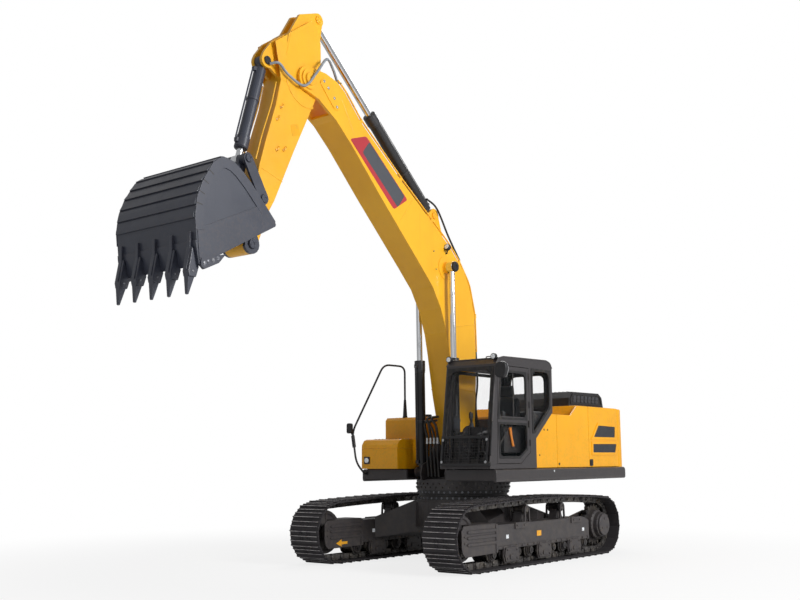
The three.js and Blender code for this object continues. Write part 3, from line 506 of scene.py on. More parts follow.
def machined(name, colour, roughness, turn_scale, metallic=1.0, oily=0.1):
    """Ground or polished metal: fine lines across one direction and a thin film of oil."""
    f = Finish(name)
    lines = f.noise(1.0, 3, 0.6, f.stretched(6, turn_scale, turn_scale))
    film = f.span(f.noise(7, 4, 0.6), 0.45, 0.75)
    base = f.mix(film, colour, shade(colour, 0.8))
    gloss = f.span(lines, 0.3, 0.7, roughness * 0.7, roughness * 1.4)
    gloss = f.sum("ADD", gloss, f.sum("MULTIPLY", film, oily))
    return f.give(Base_Color=base, Roughness=gloss, Metallic=metallic,
                  Normal=f.bump(lines, 0.05, 0.0006))


def moulded(name, colour, roughness=0.6, pebble=320, depth=0.25, dust=0.12):
    """Rubber or plastic with a pebbled skin, dulled by dust in patches."""
    f = Finish(name)
    base = f.mix(f.span(f.noise(4, 5, 0.7), 0.3, 0.7), shade(colour, 0.8), shade(colour, 1.2))
    powder = f.sum("MULTIPLY", f.span(f.noise(9, 6, 0.75), 0.45, 0.7), dust)
    base = f.mix(powder, base, shade(DUST, 0.6))
    gloss = f.span(f.noise(21, 4, 0.6), 0.3, 0.7, roughness - 0.08, roughness + 0.1)
    skin = f.bump(f.cells(pebble), depth, 0.0008)
    return f.give(Base_Color=base, Roughness=gloss, Normal=skin)


def woven(name, colour):
    """Upholstery cloth: two sets of crossed threads, a soft nap and paler worn patches."""
    f = Finish(name)
    threads = [f.node("ShaderNodeTexWave", {"Vector": f.place, "Scale": 420.0, "Distortion": 0.8},
                      bands_direction=way).outputs["Fac"] for way in ("X", "Z")]
    weave = f.sum("MULTIPLY", threads[0], threads[1])
    base = f.mix(f.span(weave, 0.1, 0.7), shade(colour, 0.8), shade(colour, 1.2))
    base = f.mix(f.span(f.noise(6, 4, 0.5), 0.5, 0.8, 0, 0.25), base, shade(colour, 1.5))
    return f.give(Base_Color=base, Roughness=0.9, Sheen_Weight=0.25, Normal=f.bump(weave, 0.3, 0.0006))


def clear(name, colour, alpha, roughness=0.03):
    """Tinted pane: see-through, with a film of dust in smears."""
    f = Finish(name)
    smears = f.span(f.noise(3.1, 6, 0.7, f.stretched(1, 1, 0.5)), 0.42, 0.8)
    base = f.mix(smears, colour, f.mix(0.2, colour, DUST))
    cover = f.sum("ADD", f.span(smears, 0, 1, 0, 0.03), alpha)
    gloss = f.span(f.noise(30, 5, 0.7), 0.4, 0.8, roughness, roughness + 0.08)
    return f.give(Base_Color=base, Alpha=cover, Roughness=gloss, IOR=1.6, Specular_IOR_Level=0.9)


def lamp_glass(name, colour, painted_glow=0.0):
    """A moulded lens with fine ribs over a bright reflector; its faint glow is painted light that stands in
    for the reflector's shine.
    """
    f = Finish(name)
    ribs = f.noise(1.0, 1, 0.5, f.stretched(240, 18, 18))
    base = f.mix(f.span(f.cells(60), 0.1, 0.7), shade(colour, 1.1), shade(colour, 0.6))
    return f.give(Base_Color=base, Roughness=f.span(ribs, 0.2, 0.8, 0.05, 0.25), Coat_Weight=0.8,
                  Emission_Color=colour, Emission_Strength=painted_glow, Normal=f.bump(ribs, 0.4, 0.002))


COLOURS = {
    "yellow": "FCB006", "boom": "FFBA22", "charcoal": "383537", "black": "1C1C1F",
    "track": "322F33", "bucket": "3B3F4C", "inside": "2B2E37", "rod": "D9DBDE", "red": "B8303A",
    "grey": "4A4D54", "rubber": "17171A", "seat": "2A2B30", "glass": "2A3A40", "iron": "6E6F70",
    "sleeve": "8E949B", "lens": "E9EEF2", "amber": "F08A1A", "barrel": "26272C",
}


def colour_property(key):
    """A colour that a user can change, with its default from the table of colours."""
    return bpy.props.FloatVectorProperty(
        name=key.capitalize(), description=f"Colour of what is finished in {key}",
        subtype="COLOR", size=3, min=0, max=1, default=hue(COLOURS[key]))


class ExcavatorColours(bpy.types.PropertyGroup):
    """The colours that a user would change."""
    __annotations__ = {key: colour_property(key) for key in COLOURS}


class ExcavatorSizes(bpy.types.PropertyGroup):
    """The sizes of details that a user would change."""
    shoes: bpy.props.IntProperty(name="Shoes", description="Shoes in each track", default=50, min=30)
    plate: bpy.props.FloatProperty(
        name="Shoe plate", description="Thickness of a shoe's plate", default=0.014, unit="LENGTH")
    grouser: bpy.props.FloatProperty(
        name="Grouser", description="Height of a shoe's bars", default=0.026, unit="LENGTH")
    edge: bpy.props.FloatProperty(
        name="Edge", description="Rounding of pressed and welded edges", default=0.006, unit="LENGTH")
    bolt: bpy.props.FloatProperty(
        name="Bolt", description="Radius of a usual bolt head", default=0.014, unit="LENGTH")
    hose: bpy.props.FloatProperty(
        name="Hose", description="Radius of a hydraulic hose", default=0.019, unit="LENGTH")


def sizes():
    """The sizes as the user has set them."""
    return bpy.context.scene.excavator_sizes


class EXCAVATOR_OT_finishes(bpy.types.Operator):
    """Makes every material of the machine"""
    bl_idname = "excavator.finishes"
    bl_label = "Finishes"

    def execute(self, context):
        tint = {key: tuple(getattr(context.scene.excavator_colours, key)) for key in COLOURS}
        enamel("yellow", tint["yellow"], dust=0.05, coat=0.12)
        enamel("boom_yellow", tint["boom"], dust=0.03, coat=0.12)
        enamel("charcoal", tint["charcoal"], roughness=0.4, dust=0.05, coat=0.12)
        enamel("black", tint["black"], roughness=0.42, dust=0.02, coat=0)
        enamel("red_band", tint["red"], dust=0.03, wear=0.1)
        enamel("grey_band", tint["grey"], dust=0.03, wear=0.1)
        enamel("barrel", tint["barrel"], roughness=0.36, dust=0.06)
        enamel("bucket_paint", tint["bucket"], roughness=0.4, dust=0.04, wear=0.6, coat=0.12)
        worn_steel("track_steel", shade(tint["track"], 0.88), (0.36, 0.35, 0.35), 0.5, 0.7, 0.14)
        worn_steel("chain_steel", shade(tint["track"], 0.7), (0.3, 0.29, 0.28), 0.55, 0.5, 0.3)
        worn_steel("roller_steel", shade(tint["track"], 0.6), (0.25, 0.24, 0.23), 0.5, 0.4, 0.25)
        enamel("frame_paint", shade(tint["charcoal"], 1.15), roughness=0.44, dust=0.02, coat=0)
        enamel("mark", tint["yellow"], dust=0.05)
        enamel("vent", shade(tint["grey"], 0.6), roughness=0.6, dust=0.1, wear=0.1, coat=0)
        worn_steel("bucket_inside", tint["inside"], (0.3, 0.3, 0.31), 0.5, 0.5, 0.2, metallic=0.3)
        worn_steel("wear_steel", tint["bucket"], (0.36, 0.37, 0.4), 0.45, 0.7, 0.12, metallic=0.35)
        # bar_tips is far lighter than the shoes: rubbed steel on the bar tips, brightened further as a
        # painted highlight
        worn_steel("bar_tips", shade(tint["track"], 5.4), (0.5, 0.49, 0.48), 0.45, 0.8, 0.05, metallic=0.2)
        worn_steel("iron", tint["iron"], (0.5, 0.5, 0.5), 0.6, 0.3, 0.4)
        machined("rod_chrome", tint["rod"], 0.09, 260, oily=0.08)
        machined("bright_steel", shade(tint["rod"], 0.7), 0.3, 120)
        moulded("rubber", tint["rubber"], 0.62)
        moulded("hose_sleeve", tint["sleeve"], 0.45)
        moulded("plastic", shade(tint["black"], 1.3), 0.5, pebble=420, depth=0.15)
        woven("seat_cloth", tint["seat"])
        clear("glass", tint["glass"], 0.03)
        clear("mirror_glass", shade(tint["rod"], 0.8), 0.99)
        # lens, amber and red_lens carry a faint painted glow, though no lamp is lit
        lamp_glass("lens", tint["lens"], 0.15)
        lamp_glass("amber", tint["amber"], 0.2)
        lamp_glass("red_lens", tint["red"], 0.1)
        return {"FINISHED"}


# ---------------------------------------------------------------- stage
FLOOR_HALF = 60.0


class EXCAVATOR_OT_stage(bpy.types.Operator):
    """Makes the pale floor, the soft studio light and the camera"""
    bl_idname = "excavator.stage"
    bl_label = "Stage"

    def execute(self, context):
        scene = context.scene
        scene.view_settings.view_transform = "Standard"
        mesh = mesh_of(block((-FLOOR_HALF, -FLOOR_HALF, -0.02), (FLOOR_HALF, FLOOR_HALF, -0.002)))
        floor = bpy.data.objects.new("floor", mesh)
        scene.collection.objects.link(floor)
        mesh.materials.append(pale_floor())
        pale_world(scene)
        self.lamp("key", at(16.0, -1.0, 9.5), at(0, -1.5, 3.5), 6.0, 2200)
        self.lamp("fill", at(4.0, -16.0, 8.0), at(0, -1.5, 3.0), 9.0, 90)
        self.lamp("back", at(-4.0, 9.0, 14.0), at(0, 0, 3.0), 8.0, 900)
        self.camera(scene)
        return {"FINISHED"}

    @staticmethod
    def lamp(name, place, target, size, power):
        """A square lamp that faces its target."""
        light = bpy.data.lights.new(name, "AREA")
        light.size = size
        light.energy = power
        lamp = bpy.data.objects.new(name, light)
        bpy.context.scene.collection.objects.link(lamp)
        lamp.location = place
        lamp.rotation_euler = Vector(target - place).to_track_quat("-Z", "Y").to_euler()

    @staticmethod
    def camera(scene):
        """The camera looks along the direction of its yaw and pitch, with a slight roll."""
        yaw, pitch, roll = np.radians((38.31, 8.95, -0.4))
        ahead = np.array([-math.sin(yaw) * math.cos(pitch), math.cos(yaw) * math.cos(pitch), math.sin(pitch)])
        right = np.array([math.cos(yaw), math.sin(yaw), 0.0])
        up = np.cross(right, ahead)
        side = right * math.cos(roll) + up * math.sin(roll)
        top = up * math.cos(roll) - right * math.sin(roll)
        place = Matrix(np.column_stack([side, top, -ahead, at(9.87, -14.15, 1.59)]).tolist() + [[0, 0, 0, 1]])
        data = bpy.data.cameras.new("camera")
        data.sensor_width = 36.0
        data.lens = 45.86
        data.clip_end = 200
        camera = bpy.data.objects.new("camera", data)
        scene.collection.objects.link(camera)
        camera.matrix_world = place
        scene.camera = camera


def pale_for_the_eye(tree):
    """1 for rays straight from the eye or through glass, a quarter by way of a shine, otherwise 0."""
    path = tree.nodes.new("ShaderNodeLightPath")
    shine = tree.nodes.new("ShaderNodeMath")
    shine.operation = "MULTIPLY"
    shine.inputs[1].default_value = 0.25
    tree.links.new(path.outputs["Is Glossy Ray"], shine.inputs[0])
    seen = [path.outputs["Is Camera Ray"], path.outputs["Is Transmission Ray"], shine.outputs[0]]
    for _ in range(2):
        either = tree.nodes.new("ShaderNodeMath")
        either.operation = "MAXIMUM"
        tree.links.new(seen.pop(), either.inputs[0])
        tree.links.new(seen.pop(), either.inputs[1])
        seen.append(either.outputs[0])
    return seen[0]


def pale_floor():
    """A matt floor that looks nearly white and keeps the machine's shadow."""
    f = Finish("floor")
    f.give(Base_Color=(0.72, 0.72, 0.72), Roughness=f.span(f.noise(3, 3), 0.2, 0.8, 0.86, 0.95))
    glow = f.node("ShaderNodeEmission", {"Color": (1.0, 1.0, 1.0), "Strength": 1.0})
    away = f.node("ShaderNodeVectorMath", {0: f.place}, operation="LENGTH").outputs["Value"]
    share = f.sum("MULTIPLY", pale_for_the_eye(f.tree), f.span(away, 3.5, 11.0, 0.8, 1.0))
    mixed = f.node("ShaderNodeMixShader", {0: share, 1: f.shader.outputs[0], 2: glow.outputs[0]})
    f.tree.links.new(mixed.outputs[0], f.tree.nodes["Material Output"].inputs[0])
    return f.material


def pale_world(scene):
    """A world that looks white and lights the machine at a plain level."""
    world = bpy.data.worlds.new("studio")
    scene.world = world
    world.use_nodes = True
    tree = world.node_tree
    background = tree.nodes["Background"]
    background.inputs["Color"].default_value = (1, 1, 1, 1)
    painted_glow = tree.nodes.new("ShaderNodeMapRange")
    painted_glow.inputs["To Min"].default_value = 0.30
    painted_glow.inputs["To Max"].default_value = 1.0
    tree.links.new(pale_for_the_eye(tree), painted_glow.inputs["Value"])
    tree.links.new(painted_glow.outputs[0], background.inputs["Strength"])


STOOD_FOR = {"track_left", "track_right", "idler_left", "idler_right", "final_drive_left",
             "final_drive_right",
             "slewing_ring", "handrail", "operator_seat"}          # frame nodes that a finer piece stands for


class EXCAVATOR_OT_dress(bpy.types.Operator):
    """Gives the carried-over frame nodes their finishes and rounded edges"""
    bl_idname = "excavator.dress"
    bl_label = "Frame nodes"

    def execute(self, context):
        edge = sizes().edge
        for finish, bevel, nodes in (
            ("yellow", edge, ("fuel_tank", "hydraulic_tank", "toolbox", "toolbox_lid", "side_panel_left",
                              "radiator_door_left", "engine_door_left", "pump_door_right",
                              "engine_door_right", "front_cover", "engine_hood")),
            ("yellow", edge * 4, ("counterweight",)),
            ("boom_yellow", edge, ("boom", "arm")),
            ("charcoal", edge, ("side_skirt_left", "side_skirt_right", "cab_door")),
            ("frame_paint", edge, ("revolving_frame", "track_frame_left", "track_frame_right", "carbody")),
            ("charcoal", edge * 2, ("cab_shell",)),
            ("black", edge, ("louvre_box", "front_guard", "handrail",
                             "boom_barrel_left", "boom_barrel_right", "arm_barrel", "seat_console")),
            ("bucket_paint", edge, ("bucket", "rocker_left", "rocker_right", "bucket_link", "bucket_barrel")),
            ("rod_chrome", edge / 2, ("boom_rod_left", "boom_rod_right", "arm_rod", "bucket_rod")),
            ("iron", edge, ("engine_block",)),
            ("seat_cloth", edge * 4, ("operator_seat",)),
            ("glass", 0, ("door_glass_upper", "door_glass_lower", "quarter_glass", "right_glass",
                          "rear_glass", "roof_glass", "windscreen")),
        ):
            for node in nodes:
                if node not in STOOD_FOR:
                    dress(node, finish, bevel)
        return {"FINISHED"}


# the bucket's pin, and both ends of the arm's and the bucket's cylinders
bucket_pin = at(0, -5.067, 4.418)
arm_foot, arm_head = at(0, -0.850, 5.600), at(0, -3.695, 8.035)
bucket_foot, bucket_head = at(0, -4.724, 7.089), at(0, -5.145, 5.566)


# ---------------------------------------------------------------- undercarriage
def middle(node):
    """The centre of a node's box."""
    return (boxes[node][0] + boxes[node][1]) / 2


track_x = middle("track_left")[0]
idler_y, end_radius = middle("idler_left")[1:]
drive_y = middle("final_drive_left")[1]
link_depth = 0.092
run_rise = boxes["track_left"][1][2] - 2 * end_radius - 0.004
run_peak = slew + 0.30
frame_half = 0.175
roller_y = slew - 1.36 + 2.76 * np.linspace(0, 1, 9)      # even steps between the ends of the beam
guard_y = slew + np.array([-0.90, 0.06, 1.02])             # the hanging guards beside the rollers
STEP_PLATES = ((slew - 0.62, 0.30), (slew + 1.12, 0.34))   # middle and width of the plates on the beam


def shoe_path():
    """The inner faces of the shoes: two half circles, a flat lower run and an upper run that
    rises over its carriers as a parabola with its top nearer to the drive."""
    lift = sizes().plate + sizes().grouser
    radius = end_radius - lift
    half = (drive_y - idler_y) / 2
    y = np.linspace(drive_y, idler_y, 41)[1:-1]
    reach = half + np.where(y < run_peak, run_peak - slew, slew - run_peak)
    upper = np.stack([y, end_radius + radius + run_rise * (1 - ((y - run_peak) / reach) ** 2)], 1)
    rear = arc((drive_y, end_radius), radius, -90, 90, 41)
    front = arc((idler_y, end_radius), radius, 90, 270, 41)
    return np.concatenate([[(idler_y, lift)], rear, upper, front])


def lengths(line):
    """The distance walked along a line at each of its points."""
    return np.concatenate([[0], np.cumsum(np.linalg.norm(np.diff(line, axis=0), axis=1))])


def shoe_frames():
    """Start, direction and length of each shoe, at equal steps along the path."""
    path = shoe_path()
    walked = lengths(path)
    steps = (np.arange(sizes().shoes) + 0.5) * walked[-1] / sizes().shoes
    start = np.stack([np.interp(steps, walked, path[:, i]) for i in (0, 1)], 1)
    run = np.roll(start, -1, 0) - start
    length = np.linalg.norm(run, axis=1)
    return start, run / length[:, None], length


def on_shoes(surface, frames, pitch):
    """A surface drawn on one shoe, its axes across, along and out, set on every shoe."""
    start, run, length = frames
    out = np.stack([run[:, 1], -run[:, 0]], 1)
    points, faces = surface
    along = points[None, :, 1, None] * (length / pitch)[:, None, None]
    places = np.empty((len(start), len(points), 3))
    places[..., 0] = points[:, 0]
    places[..., 1:] = start[:, None] + along * run[:, None] + points[None, :, 2, None] * out[:, None]
    return repeated(places, faces)


def shoe_bars():
    """Where each of a shoe's three bars starts, as a share of the pitch, and how high it stands."""
    tip = sizes().plate + sizes().grouser
    return (0.055, tip), (0.40, tip - 0.008), (0.745, tip - 0.008)


def one_shoe(pitch, x, half):
    """A shoe's section with three bars, carried across the track; both ends are lower than the middle."""
    plate = sizes().plate
    outer = [(start + along, height) for start, top in shoe_bars()
             for along, height in ((-0.03, plate), (0.0, top), (0.045, top), (0.085, plate))]
    section = np.array([(-0.02, 0.002), (0.0, plate), *outer, (0.95, plate), (1.03, 0.004), (1.03, -0.004),
                        (0.95, 0.0), (0.02, 0.0)])
    section[:, 0] *= pitch
    rings = np.empty((6, len(section), 3))
    rings[:, :, 1:] = section
    rings[:, :, 0] = (x + np.array([-half, -half + 0.004, -half + 0.016, half - 0.016, half - 0.004,
                                    half]))[:, None]
    rings[[0, 5], :, 2] *= np.where(section[:, 1] > plate, 0.55, 0.8)
    rings[[1, 4], :, 2] *= np.where(section[:, 1] > plate, 0.85, 1.0)
    return loft(rings)


def chain_link(pitch, x):
    """A pair of link plates with a bushing between them and pin ends outside."""
    foot = -link_depth + 0.003
    outline = np.array([(-0.028, -0.045), (-0.018, -0.078), (0.0, foot), (0.178, foot), (0.186, -0.075),
                        (0.176, -0.052), (0.182, -0.02), (0.16, -0.002), (0.02, -0.002), (-0.022, -0.02)])
    outline *= (pitch / 0.216, 1)
    plates = pair(lambda s: prism(outline, x + s * 0.088, x + s * 0.060))
    pin = lathe(turned((0.033, 0.06), (0.022, 0.062), (0.022, 0.102), (0.016, 0.106)), (x, 0, -0.048), X, 12)
    return both(plates, pin)


class EXCAVATOR_OT_tracks(bpy.types.Operator):
    """Makes the shoes, links, pins and shoe bolts of both tracks"""
    bl_idname = "excavator.tracks"
    bl_label = "Tracks"

    def execute(self, context):
        frames = shoe_frames()
        pitch = float(frames[2].max())
        for side, sign in SIDES:
            x = sign * track_x
            half = (boxes["track_left"][1][0] - boxes["track_left"][0][0]) / 2
            heads = [(x + across, pitch * share, sizes().plate)
                     for across in (-0.098, -0.052, 0.052, 0.098) for share in (0.285, 0.64)]
            # thin strips on the bar tips: rubbed steel, lightened further as a painted highlight
            worn_tips_with_painted_highlight = [block((x - half + 0.02, pitch * start + 0.001, top - 0.002),
                          (x + half - 0.02, pitch * (start + 0.06) - 0.001, top + 0.0006))
                    for start, top in shoe_bars()]
            make(f"shoes_{side}", "undercarriage", [
                (on_shoes(one_shoe(pitch, x, half), frames, pitch), 0, 0),
                (on_shoes(bolts(heads, Z, 0.015, 0.013), frames, pitch), 0, 0),
                (on_shoes(chain_link(pitch, x), frames, pitch), 0, 1),
                (on_shoes(both(*worn_tips_with_painted_highlight), frames, pitch), 0, 2),
            ], ["track_steel", "chain_steel", "bar_tips"], (f"track_{side}",))
        return {"FINISHED"}


class EXCAVATOR_OT_track_frames(bpy.types.Operator):
    """Makes the rollers, guards, carrier arches, ribbed idler guards and covers of both track frames"""
    bl_idname = "excavator.track_frames"
    bl_label = "Track frames"

    def execute(self, context):
        for side, sign in SIDES:
            x = sign * track_x
            make(f"rollers_{side}", "undercarriage", [(self.rollers(x), 0, 0), (self.carriers(x), 0, 0)],
                 ["roller_steel"])
            make(f"frame_trim_{side}", "undercarriage", [
                (self.arches(x), 0.006, 0), (self.idler_guard(x), 0.007, 0), (self.covers(x), 0.004, 0),
                (self.heads(x), 0, 0), (self.marks(x, sign), 0, 1), (self.lugs(x), 0, 2),
            ], ["frame_paint", "mark", "lens"])
            self.ends(side, sign)
        return {"FINISHED"}

    @staticmethod
    def rollers(x):
        """A roller is turned from a double-flanged profile; end collars stand outside the flanges."""
        profile = turned((0.093, 0.0), (0.093, 0.098), (0.116, 0.104), (0.118, 0.128), (0.1, 0.134),
                         (0.1, 0.142), (0.074, 0.146), (0.074, 0.17), (0.05, 0.174), (0.05, 0.192),
                         (0.03, 0.194), (0, 0.194))
        return copies(lathe(profile, (x, 0, 0.224), X, 28), [(0, y, 0) for y in roller_y])

    @staticmethod
    def carriers(x):
        """A small roller with a flange at each end, under the upper run."""
        profile = turned((0.063, 0.08), (0.078, 0.086), (0.078, 0.105), (0.045, 0.11), (0.04, 0.134),
                         (0, 0.135))
        return both(*[lathe(profile, (x, y, z), X, 24) for y, z in carrier_places()])

    @staticmethod
    def arches(x):
        """An arch stands over each carrier's pin on both sides: half a ring with two straight legs."""
        made = []
        foot = boxes["track_frame_left"][0][2] + 0.55
        for y, z in carrier_places():
            outer = [(y + 0.085, foot), *arc((y, z), 0.072, 0, 180, 10), (y - 0.085, foot)]
            inner = [(y - 0.05, foot), *arc((y, z), 0.042, 180, 0, 10), (y + 0.05, foot)]
            made.append(pair(lambda s: prism(outer + inner, x + s * 0.139, x + s * 0.111)))
            made.append(block((x - 0.13, y - 0.12, foot - 0.01), (x + 0.13, y + 0.12, foot + 0.016)))
        return both(*made)

    @staticmethod
    def idler_guard(x):
        """The idler fork's box: a bowed plate on each side with three raised ribs and an end lip."""
        front, rear = idler_y - 0.17, idler_y + 0.72
        plate = [(front, 0.30), (front - 0.02, 0.38), (front - 0.02, 0.60), (front + 0.04, 0.67),
                 (rear, 0.665), (rear, 0.245), (front + 0.06, 0.235)]

        def one_side(s):
            face = x + s * frame_half
            ribs = [prism([(front + 0.10, z), (front + 0.13, z + 0.025), (rear - 0.04, z + 0.025),
                           (rear - 0.01, z), (rear - 0.04, z - 0.018), (front + 0.13, z - 0.018)],
                          face, face + s * 0.04) for z in (0.575, 0.495, 0.40)]
            lip = block((face, rear - 0.05, 0.25), (face + s * 0.034, rear, 0.66))
            return both(prism(plate, face - s * 0.004, face + s * 0.022), *ribs, lip)

        roof = block((x - frame_half, front + 0.2, 0.655), (x + frame_half, rear, 0.675))
        return both(pair(one_side), roof)

    @staticmethod
    def covers(x):
        """Step plates on top of the beam, hanging guards by the rollers and a long raised rail."""
        def one_side(s):
            face = x + s * frame_half
            inner, outer = face - s * 0.002, face + s * 0.02
            made = [block((inner, y - wide / 2, 0.56), (outer, y + wide / 2, 0.655))
                    for y, wide in STEP_PLATES]
            edge = min(max(inner, outer), min(inner, outer) + 0.012)
            made.append(block((min(inner, outer), slew - 1.24, 0.295), (edge, slew + 1.50, 0.33)))
            for y in guard_y:
                made.append(prism([(y - 0.20, 0.19), (y - 0.17, 0.10), (y + 0.17, 0.10), (y + 0.20, 0.19),
                                   (y + 0.17, 0.305), (y - 0.17, 0.305)], face + s * 0.016, face + s * 0.034))
                made.append(prism(rounded_box((y - 0.07, 0.13), (y + 0.07, 0.20), 0.02),
                                  face + s * 0.03, face + s * 0.046))
            return both(*made)

        return pair(one_side)

    @staticmethod
    def heads(x):
        """Bolts: in pairs beside each roller, on the guards, on the step plates and the idler's fork."""
        def one_side(s):
            places = [(0.012, y + d, 0.312) for y in roller_y for d in (-0.09, 0.09)]
            places += [(0.034, y + d, z) for y in guard_y for d in (-0.13, 0.13) for z in (0.14, 0.27)]
            places += [(0.02, y + d, 0.61) for y, _ in STEP_PLATES for d in (-0.1, 0.1)]
            places += [(0.022, idler_y - 0.12, z) for z in (0.43, 0.52)]
            return bolts([(x + s * (frame_half + out), y, z) for out, y, z in places], s * X, sizes().bolt)

        return pair(one_side)

    @staticmethod
    def marks(x, sign):
        """A small blank amber square amidships outside, and an arrow pointing forward inside."""
        face = x + sign * (frame_half + 0.001)
        square = block((face, slew - 0.13, 0.42), (face + sign * 0.003, slew, 0.50))
        inner = x - sign * (frame_half + 0.022)
        tip, neck, tail = slew + np.array([-1.93, -1.80, -1.66])
        arrow = [(tip, 0.31), (neck, 0.365), (neck, 0.33), (tail, 0.33), (tail, 0.29), (neck, 0.29),
                 (neck, 0.255)]
        return both(square, prism(arrow, inner - 0.003, inner + 0.003))

    @staticmethod
    def lugs(x):
        """Pale blank plates near both ends of the beam, in the lens finish with its faint painted glow."""
        near, far = frame_half + 0.001, frame_half + 0.004
        return both(*[pair(lambda s: block((x + s * near, y - 0.035, z - 0.028),
                                           (x + s * far, y + 0.035, z + 0.028)))
                      for y, z in ((slew - 0.98, 0.46), (slew + 1.36, 0.44))])

    @staticmethod
    def ends(side, sign):
        """The idler, with a spoked web between rim and hub, and the toothed drive with its domed cover."""
        x = sign * track_x
        tread = end_radius - 0.14
        profile = turned((tread - 0.008, 0.03), (tread - 0.014, 0.036), (tread - 0.018, 0.05),
                         (tread - 0.06, 0.048), (tread - 0.075, 0.034), (0.22, 0.034), (0.10, 0.052),
                         (0.085, 0.08), (0.075, 0.087), (0, 0.087))
        idler = lathe(profile, (x, idler_y, end_radius), X, 48)
        ribs = []
        for turn in np.radians(np.arange(0, 360, 45)):
            spoke = np.array([math.cos(turn), math.sin(turn)])
            across = spoke[::-1] * (-0.012, 0.012)
            outline = [spoke * 0.09 - across, spoke * 0.09 + across,
                       spoke * (tread - 0.07) + across, spoke * (tread - 0.07) - across]
            ribs.append(prism(outline + np.array([idler_y, end_radius]), x - 0.048, x + 0.048))
        make(f"idler_wheel_{side}", "undercarriage", [(idler, 0.003, 0), (both(*ribs), 0.003, 0)],
             ["frame_paint"], (f"idler_{side}",))
        face = boxes[f"final_drive_{side}"][sign > 0][0]
        inward = -sign * X
        centre = np.array([face, drive_y, end_radius])
        hub = lathe([(0.0, 0.002), (0.155, 0.002), (0.175, 0.006), (0.182, 0.014), (0.182, 0.045),
                     (0.2, 0.052), (0.205, 0.075), (0.205, 0.12), (0.228, 0.13), (0.243, 0.14), (0.245, 0.17),
                     (0.245, 0.365), (0.0, 0.37)], centre, inward, 56)
        heads = [bolts(ring_places(centre + inward * depth, X, radius, count), -inward, size, height)
                 for depth, radius, count, size, height in (
                     (0.053, 0.193, 12, 0.009, 0.008), (0.138, 0.232, 20, 0.009, 0.01),
                     (0.002, 0.10, 3, 0.018, 0.008))]
        make(f"drive_{side}", "undercarriage", [(hub, 0.002, 0), (sprocket(x, tread), 0.004, 1),
                                                (both(*heads), 0, 0)],
             ["frame_paint", "chain_steel"], (f"final_drive_{side}",))


def sprocket(x, root, teeth=21):
    """A sprocket: its outline swings between root and tip once a tooth, flattened at both ends."""
    turn = np.linspace(0, 2 * np.pi, teeth * 8, endpoint=False)
    radius = root - 0.02 + 0.022 * np.clip(1.6 * np.cos(teeth * turn), -1, 1)
    outline = np.stack([drive_y + radius * np.cos(turn), end_radius + radius * np.sin(turn)], 1)
    return prism(outline, x - 0.04, x + 0.04)


def carrier_places():
    """Two carrier rollers touch the upper run from below."""
    upper = shoe_path()[42:81][::-1]
    along = slew + np.array([-0.33, 0.76])
    return list(zip(along, np.interp(along, *upper.T) - link_depth - 0.066))


class EXCAVATOR_OT_turntable(bpy.types.Operator):
    """Makes the slewing ring with its bolt rows, and the bolt rows round the deck's collar"""
    bl_idname = "excavator.turntable"
    bl_label = "Turntable"

    def execute(self, context):
        low, high = boxes["slewing_ring"]
        radius = (high[0] - low[0]) / 2
        inner, waist, flange = radius - 0.16, radius - 0.016, radius + 0.006
        ring = lathe([(inner, 0), (flange, 0), (flange, 0.055), (waist, 0.062), (waist, 0.088),
                      (flange, 0.095), (flange, 0.15), (inner, 0.15)], at(0, 0, low[2]), Z, 96, ring=True)
        rows = [drum_bolts(low[2] + rise, radius + 0.004, 48, start)
                for rise, start in ((0.028, 0.0), (0.122, 0.065))]
        make("slewing_ring_rows", "undercarriage", [(ring, 0.002, 0), (both(*rows), 0, 1)],
             ["black", "wear_steel"], ("slewing_ring",))
        deck = boxes["revolving_frame"][0][2]
        collar = [drum_bolts(deck + rise, radius + 0.025, 40, start)
                  for rise, start in ((0.045, 0.0), (0.105, 0.08))]
        make("turntable_rows", "house", [(both(*collar), 0, 0)], ["roller_steel"])
        return {"FINISHED"}


def drum_bolts(z, radius, count, start):
    """Bolts round an upright drum on the slewing axis: one head, drawn facing X, turned for each place."""
    points, faces = bolts([(0, 0, 0)], X, 0.014, 0.014)
    turn = start + np.linspace(0, 2 * np.pi, count, endpoint=False)[:, None]
    out = np.cos(turn) * X + np.sin(turn) * Y
    around = np.cross(Z, out)
    places = ((radius + points[:, :1]) * out[:, None] + points[:, 1:2] * around[:, None]
              + points[:, 2:] * Z + at(0, 0, z))
    return repeated(places, faces)


# ---------------------------------------------------------------- house
def yz(*pairs):
    """Pairs of (y, z) given from the slewing axis, in the row frame."""
    return np.array(pairs, float) + (slew, 0)


panel_x = boxes["engine_door_left"][1][0]
body_top = boxes["engine_hood"][1][2]
UPPER_VENT = yz((2.297, 2.179), (2.927, 2.166), (2.911, 1.976), (2.113, 1.974))
LOWER_VENT = yz((2.078, 1.852), (2.968, 1.860), (2.915, 1.707), (2.074, 1.705))


def slats(outline, face, count, depth):
    """Level slats over an opening; each one's ends follow the outline's slanted sides."""
    top_left, top_right, low_right, low_left = outline
    made = []
    for share in (np.arange(count) + 0.5) / count:
        left = low_left + (top_left - low_left) * share
        right = low_right + (top_right - low_right) * share
        z = (left[1] + right[1]) / 2
        made.append(prism([(left[0], z - 0.009), (right[0], z - 0.009), (right[0], z + 0.003),
                           (left[0], z + 0.003)], face, face + depth))
    return both(*made)


